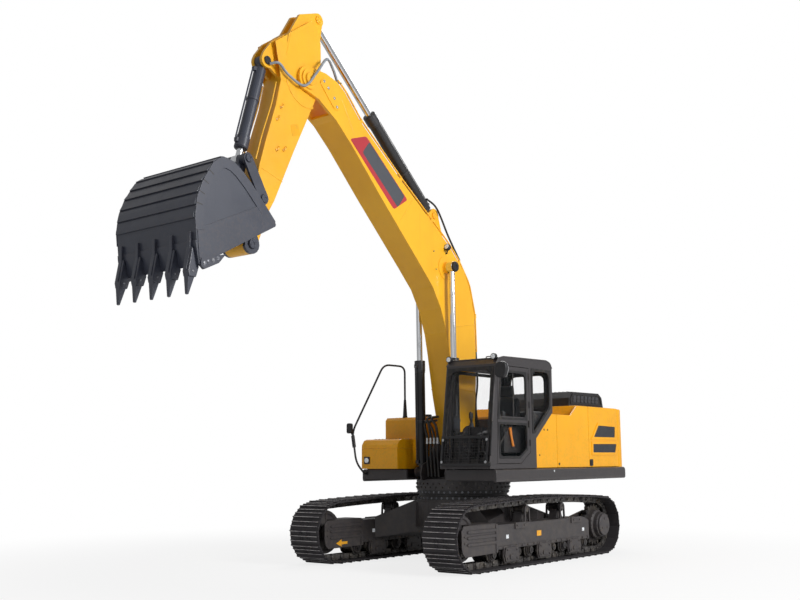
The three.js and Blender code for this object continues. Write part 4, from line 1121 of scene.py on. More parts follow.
class EXCAVATOR_OT_doors(bpy.types.Operator):
    """Makes the vents, latches and locks of the side doors and the bolts beside them"""
    bl_idname = "excavator.doors"
    bl_label = "Side doors"

    def execute(self, context):
        rims, dark = [], []
        for outline in (UPPER_VENT, LOWER_VENT):
            rims.append(rim(shrunk(outline, -0.045), 0.045, panel_x - 0.004, panel_x + 0.011, inner=0.02))
            dark.append(prism(shrunk(outline, -0.01), panel_x - 0.002, panel_x + 0.002))
            dark.append(slats(outline, panel_x + 0.001, 9, 0.007))
        latch = prism(soft(yz((1.945, 1.475), (2.065, 1.475), (2.065, 1.59), (1.945, 1.59)), 0.02),
                      panel_x - 0.002, panel_x + 0.006)
        lever = prism(soft(yz((1.972, 1.495), (2.03, 1.495), (2.03, 1.56), (1.972, 1.56)), 0.012),
                      panel_x + 0.004, panel_x + 0.014)
        for side, _ in SIDES:
            make(f"engine_door_vents_{side}", f"engine_door_{side}", [
                (turn_over(both(*rims), side), 0.005, 0), (turn_over(both(*dark), side), 0, 1),
                (turn_over(latch, side), 0.002, 2), (turn_over(lever, side), 0.003, 2),
            ], ["yellow", "vent", "black"])
        for body, side, y in (("radiator_door", "left", 0.885), ("pump_door", "right", 1.21)):
            centre = yz((y, 1.515))[0]
            lock = prism(rounded_box(centre - 0.022, centre + 0.022, 0.02), panel_x - 0.002, panel_x + 0.006)
            make(f"{body}_lock", body, [(turn_over(lock, side), 0.002, 0)], ["black"])
        corner = bolts([at(panel_x, y, z) for y, z in ((0.42, 2.07), (0.53, 2.07), (0.26, 1.66))], X, 0.012,
                       0.008)
        cover = bolts([at(x, 1.46, boxes["front_cover"][1][2]) for x in (-0.3, 0.3, 0.9)], Z, 0.012, 0.008)
        make("panel_bolts", "house", [(corner, 0, 0), (cover, 0, 0)], ["roller_steel"])
        return {"FINISHED"}


class EXCAVATOR_OT_hood(bpy.types.Operator):
    """Makes the slotted sides of the louvred box, the hood's handle, walkway pads and the exhaust"""
    bl_idname = "excavator.hood"
    bl_label = "Engine hood"

    def execute(self, context):
        low, high = boxes["louvre_box"]
        frame_line = yz((1.70, body_top + 0.04), (2.86, body_top + 0.04), (2.82, body_top + 0.19),
                        (2.74, body_top + 0.235), (1.78, body_top + 0.225), (1.69, body_top + 0.12))
        parts = []
        for x, out in ((high[0], 1), (low[0], -1)):
            near, far = sorted((x - out * 0.002, x + out * 0.012))
            parts.append((rim(frame_line, 0.022, near, far, inner=0.03), 0.004, 0))
            for y in 1.80 + 0.135 * np.arange(7):
                slot = yz((y, body_top + 0.075), (y + 0.10, body_top + 0.075), (y + 0.115, body_top + 0.195),
                          (y + 0.015, body_top + 0.195))
                parts.append((prism(soft(slot, 0.02), near, far - 0.004 if out > 0 else far), 0.002, 1))
                parts.append((block((near, slew + y + 0.01, body_top + 0.13),
                                    (far, slew + y + 0.115, body_top + 0.138)), 0, 0))
        rib = yz((1.80, body_top + 0.258), (2.70, body_top + 0.262), (2.70, body_top + 0.272),
                 (1.80, body_top + 0.266))
        parts += [(prism(rib, x - 0.012, x + 0.012), 0.002, 0)
                  for x in np.linspace(low[0] + 0.12, high[0] - 0.12, 19)]
        make("louvre_slats", "engine_hood", parts, ["black", "vent"])
        handle = tube(rounded([at(0.2, 3.0, body_top), at(0.2, 3.0, body_top + 0.04),
                               at(0.45, 3.0, body_top + 0.04), at(0.45, 3.0, body_top)], 0.02), 0.009)
        make("hood_walkway", "engine_hood", [*self.pad((-1.22, 1.62), (-0.66, 2.95), body_top),
                                             (handle, 0, 0)],
             ["black"])
        self.tank()
        pipe = lathe([(0.052, 0), (0.052, 0.02), (0.06, 0.02), (0.06, 0.11), (0.052, 0.125), (0.045, 0.125),
                      (0.045, 0.03)], at(-0.86, 2.72, body_top), Z, 24, ring=True)
        make("exhaust", "engine_hood", [(pipe, 0.001, 0)], ["roller_steel"])
        return {"FINISHED"}

    def tank(self):
        """The tanks' treads, filler cap, breather, bolts and level gauge."""
        top = boxes["fuel_tank"][1][2]
        treads = self.pad((-1.26, -0.25), (-0.98, 0.50), top) + self.pad((-1.26, 0.66), (-0.60, 1.08), top)
        cap = lathe([(0, 0), (0.085, 0), (0.085, 0.012), (0.062, 0.016), (0.06, 0.05), (0.05, 0.058),
                     (0, 0.06)],
                    at(-0.72, 0.02, top), Z, 28)
        breather = lathe([(0, 0), (0.05, 0), (0.05, 0.008), (0.03, 0.012), (0.03, 0.06), (0.042, 0.066),
                          (0.042, 0.10), (0, 0.106)], at(-0.62, 0.86, top), Z, 20)
        heads = bolts([at(x, y, top) for x in (-1.28, -0.56) for y in (0.66, 1.08)], Z)
        gauge = prism(yz((0.22, 1.62), (0.26, 1.62), (0.26, 2.05), (0.22, 2.05)), -1.327, -1.32)
        make("tank_fittings", "house", [*treads, (cap, 0.002, 0), (breather, 0.002, 0), (heads, 0, 0),
                                        (gauge, 0.002, 0)], ["black"])

    @staticmethod
    def pad(low, high, z):
        """A walkway plate with raised studs in even rows."""
        x, y = [np.linspace(a + 0.035, b - 0.035, int((b - a) / 0.07)) for a, b in zip(low, high)]
        plate = prism(rounded_box(np.add(low, (0, slew)), np.add(high, (0, slew)), 0.03), z - 0.001,
                      z + 0.004, axis=2)
        places = np.array(np.meshgrid(x, y + slew, [z + 0.003])).reshape(3, -1).T
        stud = lathe([(0.014, 0), (0.013, 0.005), (0.007, 0.006)], np.zeros(3), Z, 8)
        return [(plate, 0, 0), (copies(stud, places), 0, 0)]


class EXCAVATOR_OT_tail(bpy.types.Operator):
    """Makes the counterweight's lamps, reflectors, groove and tow pin"""
    bl_idname = "excavator.tail"
    bl_label = "Counterweight"

    def execute(self, context):
        low, high = boxes["counterweight"]
        back = high[1]
        parts = []
        for _, s in SIDES:
            for x, z, half, rise, corner, start, stop, bevel, finish in (
                    (0.62, 2.04, 0.10, 0.06, 0.03, -0.03, 0.004, 0.004, 0),
                    (0.62, 2.04, 0.082, 0.045, 0.024, -0.01, 0.010, 0.003, 1),
                    (0.50, 1.325, 0.06, 0.025, 0.01, -0.02, 0, 0, 1)):
                outline = rounded_box((s * x - half, z - rise), (s * x + half, z + rise), corner)
                parts.append((prism(outline, back + start, back + stop, axis=1), bevel, finish))
        pin = lathe([(0.05, -0.12), (0.05, 0.12)], at(0, 3.44, low[2] + 0.13), Z, 20)
        grip = prism(rounded_box((-0.62, 1.62), (0.62, 1.66), 0.018), back - 0.02, back + 0.002, axis=1)
        # the red lenses of the lamps and of the reflectors carry the red_lens finish's faint painted glow
        make("tail_fittings", "house", [*parts, (pin, 0.004, 0), (grip, 0, 0)], ["black", "red_lens"])
        face = boxes["side_skirt_left"][1][0] - 0.004
        disc = [(0, 0.0), (0.017, 0.0), (0.017, 0.005), (0.012, 0.008), (0, 0.008)]
        # the dots take the lens finish, and so its faint painted glow
        dots = pair(lambda s: lathe(disc, at(s * face, 0.62, 1.405), s * X, 20))
        make("skirt_marks", "house", [(dots, 0, 0)], ["lens"])
        return {"FINISHED"}


class EXCAVATOR_OT_steps(bpy.types.Operator):
    """Makes the toolbox's lamp and step, the right-hand rail with its mirror, and the deck's treads"""
    bl_idname = "excavator.steps"
    bl_label = "Toolbox, rail and treads"

    def execute(self, context):
        low, high = boxes["toolbox"]
        shell_front, step_front = slew - 1.042, slew - 0.893
        step = block((low[0] - 0.003, step_front - 0.001, low[2] - 0.001),
                     (high[0] + 0.003, high[1] + 0.002, 1.455))
        slots = [prism(rounded_box((x - half, bottom), (x + half, top), corner), step_front - 0.009,
                       step_front, axis=1)
                 for half, bottom, top, corner, inset, count in (
                     (0.025, 1.35, 1.385, 0.014, 0.07, 9), (0.02, 1.405, 1.43, 0.01, 0.10, 8))
                 for x in np.linspace(low[0] + inset, high[0] - inset, count)]
        housing = prism(rounded_box((-1.265, 1.535), (-1.145, 1.655), 0.012), shell_front - 0.014,
                        shell_front + 0.01, axis=1)
        lens = lathe([(0, 0), (0.043, 0.0), (0.04, 0.012), (0.02, 0.019), (0, 0.02)],
                     (-1.205, shell_front - 0.013, 1.595), -Y, 24)
        make("toolbox_fittings", "house", [(step, 0.004, 0), (both(*slots), 0, 1), (housing, 0.004, 0),
                                           (lens, 0, 2)],
             ["black", "vent", "lens"])
        lid = boxes["toolbox_lid"]
        pad = EXCAVATOR_OT_hood.pad((lid[0][0] + 0.10, -0.86), (lid[1][0] - 0.08, -0.48), lid[1][2])
        make("toolbox_tread", "toolbox_lid", pad, ["black"])
        self.rail()
        return {"FINISHED"}

    @staticmethod
    def rail():
        """The bent rail with its foot, ankle and collar, and the mirror on its outer leg."""
        route = [at(-1.296, -0.950, 1.38), at(-1.296, -1.01, 1.38), at(-1.43, -1.06, 1.56),
                 at(-1.49, -1.09, 2.07), at(-1.09, -0.735, 3.205), at(-0.955, -0.33, 3.19),
                 at(-0.955, -0.33, 2.314)]
        pipe = tube(rounded(route, 0.12, 8), 0.0165, 16)
        foot = lathe([(0.044, 0.0), (0.044, 0.012), (0.037, 0.03), (0.030, 0.15), (0.021, 0.30),
                      (0.017, 0.31)],
                     route[-1] - (0, 0, 0.002), Z, 20)
        ankle = lathe([(0.03, 0), (0.03, 0.022)], route[0] + (0, 0.012, 0), -Y, 20)
        clamp = unit(route[3] - route[2])
        collar = lathe([(0.028, -0.10), (0.03, -0.09), (0.03, 0.09), (0.028, 0.10)], route[3] - clamp * 0.16,
                       clamp, 16)
        make("right_handrail", "house", [(pipe, 0, 0), (foot, 0, 0), (ankle, 0.003, 0), (collar, 0, 0)],
             ["black"], ("handrail",))
        centre = at(-1.515, -1.12, 2.13)
        flat, y = centre[[0, 2]], centre[1]
        head = prism(rounded_box(flat - (0.058, 0.085), flat + (0.052, 0.085), 0.03), y - 0.03, y + 0.02,
                     axis=1)
        glass = prism(rounded_box(flat - (0.048, 0.075), flat + (0.042, 0.075), 0.024), y + 0.018, y + 0.024,
                      axis=1)
        arm = tube([centre + (0.02, 0.0, -0.05), route[3] + (0, 0, -0.05)], 0.014, 10)
        make("right_mirror", "house", [(head, 0.01, 0), (glass, 0.001, 1), (arm, 0, 0)],
             ["black", "mirror_glass"])


# ---------------------------------------------------------------- cab
cab_inner, cab_outer = boxes["cab_shell"][0][0], boxes["cab_shell"][1][0]
door_out = boxes["cab_door"][1][0]
ROOF = yz((-1.25, 1.455), (-1.03, 3.05), (-0.96, 3.135), (-0.83, 3.168), (0.48, 3.195), (0.60, 3.162),
          (0.655, 3.08), (0.645, 2.355))
UPPER_PANE = yz((-1.012, 2.20), (-0.918, 2.965), (-0.155, 2.965), (-0.155, 2.20))
LOWER_PANE = yz((-0.985, 1.61), (-1.01, 2.16), (-0.155, 2.16), (-0.155, 1.745), (-0.392, 1.61))
QUARTER = yz((-0.012, 2.0), (-0.012, 3.04), (0.582, 3.04), (0.578, 2.42), (0.06, 2.0))


def cab_front(z):
    """The sloping front of the cab: its place along Y at a height."""
    return slew - 1.25 + 0.22 * (np.asarray(z) - 1.455) / 1.595


def lean(surface):
    """A surface drawn near the plane y = 0, set on the cab's sloping front."""
    points, faces = surface
    return np.stack([points[:, 0], points[:, 1] + cab_front(points[:, 2]), points[:, 2]], 1), faces


class EXCAVATOR_OT_cab(bpy.types.Operator):
    """Makes the window rubbers, gutters, lamps, wiper, mesh guard and mirror of the cab"""
    bl_idname = "excavator.cab"
    bl_label = "Cab outside"

    def execute(self, context):
        screen = [(cab_inner + 0.035, 1.555), (cab_outer - 0.035, 1.555), (cab_outer - 0.035, 3.015),
                  (cab_inner + 0.035, 3.015)]
        rubber = [(lean(rim(screen, 0.05, -0.006, 0.034, axis=1, inner=0.13)), 0.004, 0),
                  (rim(QUARTER, 0.042, cab_outer - 0.02, cab_outer + 0.006, inner=0.11), 0.003, 0),
                  (rim(yz((-0.98, 1.62), (-0.82, 3.0), (0.55, 3.0), (0.55, 1.62)), 0.05, cab_inner - 0.005,
                       cab_inner + 0.03, inner=0.12), 0.003, 0),
                  (rim([(cab_inner + 0.10, 2.42), (cab_outer - 0.10, 2.42), (cab_outer - 0.10, 3.01),
                        (cab_inner + 0.10, 3.01)], 0.04, slew + 0.615, slew + 0.652, axis=1, inner=0.1),
                   0.003, 0)]
        wiper = both(lean(tube([(0.53, -0.022, 1.62), (0.545, -0.026, 2.3), (0.60, -0.03, 2.88)], 0.009, 8)),
                     lean(tube([(0.62, -0.016, 2.05), (0.625, -0.016, 2.90)], 0.008, 8)),
                     lean(tube([(0.56, -0.03, 2.5), (0.62, -0.02, 2.5)], 0.006, 8)))
        make("cab_rubbers", "house", [*rubber, (wiper, 0, 0)], ["rubber"])
        gutter = []
        for x in (cab_outer - 0.004, cab_inner + 0.004):
            line = np.insert(ROOF[1:-1], 0, x, axis=1)
            gutter.append(tube(rounded(line, 0.04), 0.013, 10))
        gutter.append(tube([at(cab_inner + 0.01, -0.955, 3.14), at(cab_outer - 0.01, -0.955, 3.14)], 0.014,
                           10))
        pillar = lean(tube([(cab_outer - 0.012, -0.004, 1.50), (cab_outer - 0.012, -0.004, 3.0)], 0.012, 10))
        make("cab_gutters", "house", [(both(*gutter, pillar), 0, 0)], ["charcoal"])
        self.lamps()
        self.guard()
        self.mirror()
        return {"FINISHED"}

    @staticmethod
    def lamps():
        """The two work lamps over the windscreen."""
        parts = []
        for x in (cab_inner + 0.03, cab_outer - 0.06):
            base = at(x, -0.99, 3.165)
            shell = lathe([(0, 0.05), (0.03, 0.045), (0.048, 0.02), (0.05, -0.025), (0.046, -0.034)], base, Y,
                          24)
            lens = lathe([(0.046, -0.03), (0.03, -0.038), (0, -0.041)], base, Y, 24)
            stem = tube([base + (0, 0.03, -0.03), base + (0, 0.05, -0.07)], 0.014, 10)
            parts += [(shell, 0.002, 0), (lens, 0, 1), (stem, 0, 0)]
        for x, y in ((cab_outer - 0.08, -0.62), (cab_outer - 0.08, 0.30), (cab_inner + 0.08, -0.62)):
            parts.append((lathe([(0.02, -0.02), (0.02, 0.012), (0.012, 0.022), (0, 0.024)],
                                at(x, y, 3.17 + 0.012 * (y + 0.8)), Z, 16), 0.001, 0))
        grip = tube(rounded([at(0.80, -0.44, 3.19), at(0.80, -0.44, 3.235), at(1.0, -0.44, 3.235),
                             at(1.0, -0.44, 3.19)], 0.02), 0.008)
        parts += [(rim([(0.60, slew - 0.50), (1.22, slew - 0.50), (1.22, slew + 0.28), (0.60, slew + 0.28)],
                       0.05, 3.168, 3.206, axis=2, outer=0.05, inner=0.05), 0.005, 0), (grip, 0, 0)]
        make("cab_lamps", "house", parts, ["black", "lens"])

    @staticmethod
    def guard():
        """The mesh: two even rows of wires inside the guard's frame, and a pale bolt at each corner."""
        low, high = boxes["front_guard"]
        out = -0.030
        upright = [tube([(x, out, low[2] + 0.01), (x, out, high[2] - 0.01)], 0.003, 6)
                   for x in np.linspace(low[0] + 0.03, high[0] - 0.03, 20)]
        level = [tube([(low[0] + 0.01, out - 0.004, z), (high[0] - 0.01, out - 0.004, z)], 0.003, 6)
                 for z in np.linspace(low[2] + 0.04, high[2] - 0.04, 10)]
        wires = lean(both(*upright, *level))
        studs = lean(bolts([(x, -0.042, z) for x in (low[0] + 0.03, high[0] - 0.03)
                            for z in (low[2] + 0.06, high[2] - 0.06)], -Y, 0.016, 0.012))
        make("guard_mesh", "house", [(wires, 0, 0), (studs, 0, 1)], ["black", "bright_steel"])

    @staticmethod
    def mirror():
        """The mirror on the cab's outer front corner."""
        centre = np.array([cab_outer + 0.145, cab_front(2.93) - 0.03, 2.94])
        outline = centre[[0, 2]] + soft([(-0.12, -0.10), (0.06, -0.145), (0.115, 0.0), (0.085, 0.13),
                                         (-0.09, 0.125)], 0.08, 6)
        shell = prism(outline, centre[1] - 0.075, centre[1] + 0.012, axis=1)
        face = prism(shrunk(outline, 0.01), centre[1] + 0.01, centre[1] + 0.016, axis=1)
        arm = tube(rounded([centre + (-0.03, 0, 0.04), centre + (-0.09, 0.0, 0.05), (cab_outer - 0.02,
                           cab_front(3.0) + 0.01, 3.0)], 0.03), 0.012, 10)
        make("cab_mirror", "house", [(shell, 0.03, 0), (face, 0.001, 1), (arm, 0, 0)],
             ["black", "mirror_glass"])
        rail = tube(rounded([(cab_outer - 0.02, cab_front(1.66), 1.66),
                             (cab_outer + 0.03, cab_front(1.66) - 0.06, 1.66),
                             (cab_outer + 0.03, cab_front(2.16) - 0.06, 2.16),
                             (cab_outer - 0.02, cab_front(2.16), 2.16)], 0.05), 0.013, 12)
        lamp = lathe([(0, 0.03), (0.03, 0.026), (0.036, 0.0), (0.034, -0.02), (0, -0.024)],
                     (cab_outer - 0.012, cab_front(1.53) - 0.03, 1.53), Y, 20)
        make("cab_grips", "house", [(rail, 0, 0), (lamp, 0.001, 0)], ["black"])


class EXCAVATOR_OT_cab_door(bpy.types.Operator):
    """Makes the door's window rubbers, handle, grab bar and hinges"""
    bl_idname = "excavator.cab_door"
    bl_label = "Cab door"

    def execute(self, context):
        x = boxes["door_glass_upper"][1][0]
        rubber = [(rim(pane, 0.034, x - 0.002, door_out + 0.003, inner=radius), 0.003, 0)
                  for pane, radius in ((UPPER_PANE, 0.12), (LOWER_PANE, 0.05))]
        slide = prism(yz((-0.55, 2.22), (-0.52, 2.22), (-0.52, 2.95), (-0.55, 2.95)), x + 0.001, x + 0.008)
        handle = prism(rounded_box(at(0, -0.135, 2.09)[1:], at(0, -0.10, 2.20)[1:], 0.012),
                       door_out - 0.002, door_out + 0.016)
        knobs = [lathe([(0.013, -0.05), (0.013, 0.05)], at(door_out + 0.004, -0.094, z), Z, 14)
                 for z in (1.85, 2.45, 2.9)]
        inside = boxes["cab_door"][0][0]
        bar = tube(rounded([at(inside - 0.002, -0.96, 1.72), at(inside - 0.05, -0.92, 1.72),
                            at(inside - 0.05, -0.62, 2.02), at(inside - 0.002, -0.60, 2.14)], 0.08, 8), 0.012,
                   12)
        make("door_trim", "cab_door", [*rubber, (slide, 0.002, 0), (handle, 0.003, 0),
                                       (both(*knobs), 0.001, 0), (bar, 0, 0)], ["rubber"])
        return {"FINISHED"}


class EXCAVATOR_OT_interior(bpy.types.Operator):
    """Makes the seat's cushions and belt, the levers, pedals, monitor and trim inside the cab"""
    bl_idname = "excavator.interior"
    bl_label = "Cab inside"

    def execute(self, context):
        low, high = boxes["operator_seat"]
        mid = (low[0] + high[0]) / 2
        cushion = block(at(mid - 0.17, -0.54, low[2] + 0.06), at(mid + 0.17, -0.05, low[2] + 0.155))
        seat = [(cushion, 0.045, 0)]
        for s in (-1, 1):
            bolster = prism(soft(yz((-0.55, low[2] + 0.05), (-0.57, low[2] + 0.12), (-0.3, low[2] + 0.185),
                                    (-0.04, low[2] + 0.19), (-0.04, low[2] + 0.04)), 0.04),
                            mid + s * 0.165, mid + s * 0.255)
            wing = prism(soft(yz((-0.10, low[2] + 0.14), (-0.16, low[2] + 0.40), (-0.09, low[2] + 0.70),
                                 (0.0, low[2] + 0.70), (0.02, low[2] + 0.14)), 0.05),
                         mid + s * 0.155, mid + s * 0.24)
            seat += [(bolster, 0.03, 0), (wing, 0.03, 0)]
        back = prism(soft(yz((-0.11, low[2] + 0.13), (-0.08, low[2] + 0.72), (0.03, low[2] + 0.72),
                             (0.06, low[2] + 0.13)), 0.05), mid - 0.165, mid + 0.165)
        head = prism(soft(yz((-0.07, high[2] - 0.20), (-0.085, high[2] - 0.02), (0.01, high[2] - 0.01),
                             (0.03, high[2] - 0.19)), 0.04), mid - 0.13, mid + 0.13)
        base = block(at(mid - 0.22, -0.50, low[2]), at(mid + 0.22, -0.02, low[2] + 0.07))
        posts = pair(lambda s: tube([at(mid + s * 0.06, 0.0, low[2] + 0.68),
                                     at(mid + s * 0.06, -0.02, high[2] - 0.14)], 0.008))
        make("seat", "house", [*seat, (back, 0.035, 0), (head, 0.04, 0), (base, 0.015, 1), (posts, 0, 1)],
             ["seat_cloth", "plastic"], ("operator_seat",))
        gear = []
        for s in (-1, 1):
            x = mid + s * 0.305
            foot = at(x, -0.59, 2.105)
            gear.append((lathe([(0.045, 0), (0.04, 0.015), (0.034, 0.03), (0.036, 0.04), (0.026, 0.06),
                                (0.028, 0.07), (0.014, 0.085), (0, 0.09)], foot, Z, 20), 0, 0))
            gear.append((tube([foot + (0, 0, 0.08), foot + (0, -0.01, 0.12), foot + (0, -0.02, 0.16),
                               foot + (0, -0.025, 0.225), foot + (0, -0.02, 0.245)],
                              np.array([0.016, 0.021, 0.026, 0.024, 0.01]), 16), 0, 0))
            pedal = prism(soft(yz((-0.98, 1.70), (-0.90, 1.66), (-0.88, 1.685), (-0.965, 1.73)), 0.01),
                          mid + s * 0.07, mid + s * 0.17)
            x = mid + s * 0.12
            lever = tube([at(x, -0.91, 1.66), at(x, -0.93, 2.05), at(x, -0.90, 2.12)], 0.009)
            gear += [(pedal, 0.004, 0), (lever, 0, 0)]
        floor = block(at(cab_inner + 0.05, -1.05, 1.49), at(cab_outer - 0.06, 0.08, 1.506))
        screen = block(at(cab_inner + 0.045, -0.99, 2.05), at(cab_inner + 0.085, -0.80, 2.28))
        lit = block(at(cab_inner + 0.084, -0.975, 2.08), at(cab_inner + 0.088, -0.815, 2.25))
        shelf = block(at(cab_inner + 0.06, 0.14, 2.02), at(cab_outer - 0.06, 0.56, 2.36))
        box = block(at(cab_inner + 0.05, -0.95, 1.50), at(cab_inner + 0.14, -0.1, 1.98))
        ceiling = block(at(cab_inner + 0.06, -0.85, 3.085), at(cab_outer - 0.06, -0.52, 3.115))
        tray = block(at(cab_inner + 0.04, -0.78, 1.98), at(cab_inner + 0.13, 0.1, 2.03))
        # the orange tube takes the amber lens finish, and so its faint painted glow
        orange = tube([at(mid + 0.36, -0.50, 2.09), at(mid + 0.362, -0.47, 1.95),
                       at(mid + 0.366, -0.43, 1.80)],
                      np.array([0.024, 0.018, 0.02]), 12)
        make("cab_controls", "house", [
            *gear, (floor, 0.003, 1), (screen, 0.01, 0), (lit, 0, 2), (shelf, 0.03, 0), (box, 0.03, 0),
            (ceiling, 0.012, 0), (tray, 0.01, 0), (orange, 0, 3),
        ], ["plastic", "rubber", "vent", "amber"])
        belt = tube(curve([at(mid + 0.25, -0.12, low[2] + 0.02), at(mid + 0.26, -0.20, low[2] + 0.17),
                           at(mid + 0.08, -0.30, low[2] + 0.185), at(mid - 0.12, -0.28, low[2] + 0.18)]),
                    0.013, 6)
        make("seat_belt", "house", [(belt, 0, 0)], ["black"])
        return {"FINISHED"}


# ---------------------------------------------------------------- boom and arm
boom_x, arm_x = 0.225, 0.171
boom_pin = at(0, -0.150, 1.950)
lift_pin = at(0, -0.720, 4.720)
arm_pin = at(0, -4.006, 6.998)
BOOM_TOP = yz((0.112, 3.40), (0.092, 4.016), (-0.06, 4.52), (-0.345, 4.87), (-0.62, 5.11), (-1.11, 5.445),
              (-1.915, 5.975), (-2.88, 6.668), (-3.24, 7.03), (-3.40, 7.13))


def on_side(outline, x, thick):
    """A thin plate of the same outline on both sides of a beam whose half width is x."""
    return pair(lambda s: prism(outline, s * (x - 0.002), s * (x + thick)))


def bead(points, x, radius=0.005):
    """A weld bead over both sides of a beam: a thin tube on the surface."""
    return pair(lambda s: tube([(s * x, y, z) for y, z in points], radius, 8))


def offset(line, by):
    """An open line of (y, z) pairs moved square to itself, to its left."""
    ahead = unit(np.gradient(line, axis=0))
    return line + by * np.stack([-ahead[:, 1], ahead[:, 0]], 1)


def pin_end(centre, x, radius, thick=0.03):
    """A pin's two ends with a keeper plate and bolts, on both sides of a joint."""
    profile = [(0, -0.01), (radius, -0.01), (radius, thick * 0.7), (radius * 0.9, thick),
               (radius * 0.35, thick), (radius * 0.3, thick * 0.7), (0, thick * 0.7)]

    def end(s):
        place = np.array([s * x, *centre[1:]])
        around = ring_places(place + s * X * thick * 0.9, X, radius * 0.64, 4, 0.4)
        return both(lathe(profile, place, s * X, 28), bolts(around, s * X, radius * 0.12, 0.008))

    return pair(end)


def pipes(line, x_places, radius=0.014):
    """Pipes along one (y, z) line at several places across the machine."""
    return both(*[tube(rounded(np.insert(line, 0, x, axis=1), 0.10), radius, 10) for x in x_places])


class EXCAVATOR_OT_boom(bpy.types.Operator):
    """Makes the boom's bands, doublers, welds, pins, work lamp, pipes and clamps"""
    bl_idname = "excavator.boom"
    bl_label = "Boom trim"

    def execute(self, context):
        band = soft(yz((-3.117, 6.334), (-2.742, 6.467), (-1.732, 5.671), (-2.083, 5.449)), 0.05)
        grey = soft(yz((-2.831, 6.193), (-2.671, 6.396), (-1.810, 5.717), (-1.982, 5.499)), 0.04)
        cover = soft(yz((-3.79, 7.02), (-3.70, 7.12), (-3.42, 6.86), (-3.33, 6.72), (-3.45, 6.68),
                        (-3.58, 6.80)), 0.05)
        welds = both(bead(yz((-1.60, 5.70), (-1.94, 5.27)), boom_x),
                     bead(yz((-0.62, 3.75), (0.09, 3.86)), boom_x),
                     bead(yz((-3.30, 6.90), (-3.02, 6.42)), boom_x, 0.004),
                     bead(yz((-0.55, 2.75), (0.08, 2.72)), boom_x))
        doublers = both(on_side(arc(lift_pin[1:], 0.20, 20, 340, 24), boom_x, 0.009),
                        on_side(arc(boom_pin[1:], 0.175, 0, 345, 24), boom_x, 0.006),
                        on_side(cover, boom_x, 0.012))
        places = yz((-3.61, 6.98), (-3.48, 6.86), (-3.70, 7.06), (-3.42, 6.74))
        heads = pair(lambda s: bolts([(s * (boom_x + 0.012), *p) for p in places], s * X, 0.017, 0.012))
        edge = offset(BOOM_TOP, -0.028)
        line = offset(BOOM_TOP, -0.055)
        route = both(pipes(line, (-0.205, 0.205)), pipes(line[:-2], (-0.155, 0.155)))
        clamps = [prism([(y - 0.02, z - 0.075), (y + 0.03, z - 0.045), (y + 0.03, z + 0.03), (y - 0.02, z)],
                        s * 0.132, s * 0.228)
                  for y, z in edge[[1, 3, 5, 6, 7]] for s in (-1, 1)]
        nipples = both(*[lathe([(0.008, 0), (0.011, 0.012), (0.006, 0.03)], at(s * boom_x, y, z), s * X, 10)
                         for s in (-1, 1) for y, z in ((-1.06, 4.95), (-1.0, 4.66), (-3.34, 7.13))])
        make("boom_trim", "boom", [
            (doublers, 0.003, 0), (welds, 0, 0), (route, 0, 0), (both(*clamps), 0.005, 0),
            (on_side(band, boom_x, 0.0015), 0, 1), (on_side(grey, boom_x, 0.0028), 0, 2),
            (heads, 0, 3), (nipples, 0, 3),
        ], ["boom_yellow", "red_band", "grey_band", "bright_steel"])
        lamp = at(boom_x + 0.05, -0.73, 5.06)
        shell = lathe([(0, 0.055), (0.035, 0.05), (0.056, 0.02), (0.058, -0.02), (0.052, -0.03)], lamp,
                      Y - 0.35 * Z, 24)
        glass = lathe([(0.051, -0.026), (0.03, -0.036), (0, -0.038)], lamp, Y - 0.35 * Z, 24)
        stand = tube([lamp + (0, 0.0, -0.05), lamp + (-0.03, 0.02, -0.10), lamp + (-0.055, 0.02, -0.10)],
                     0.012, 10)
        caps = pin_end(lift_pin, 0.403, 0.085, 0.035)
        make("boom_fittings", "boom", [(shell, 0.002, 0), (glass, 0, 1), (stand, 0, 0), (caps, 0.002, 0),
                                       (pin_end(boom_pin, boom_x, 0.085), 0.002, 0),
                                       (pin_end(arm_pin, 0.247, 0.095), 0.002, 2),
                                       (pin_end(arm_foot, 0.10, 0.06, 0.02), 0.002, 2)],
             ["black", "lens", "boom_yellow"])
        return {"FINISHED"}


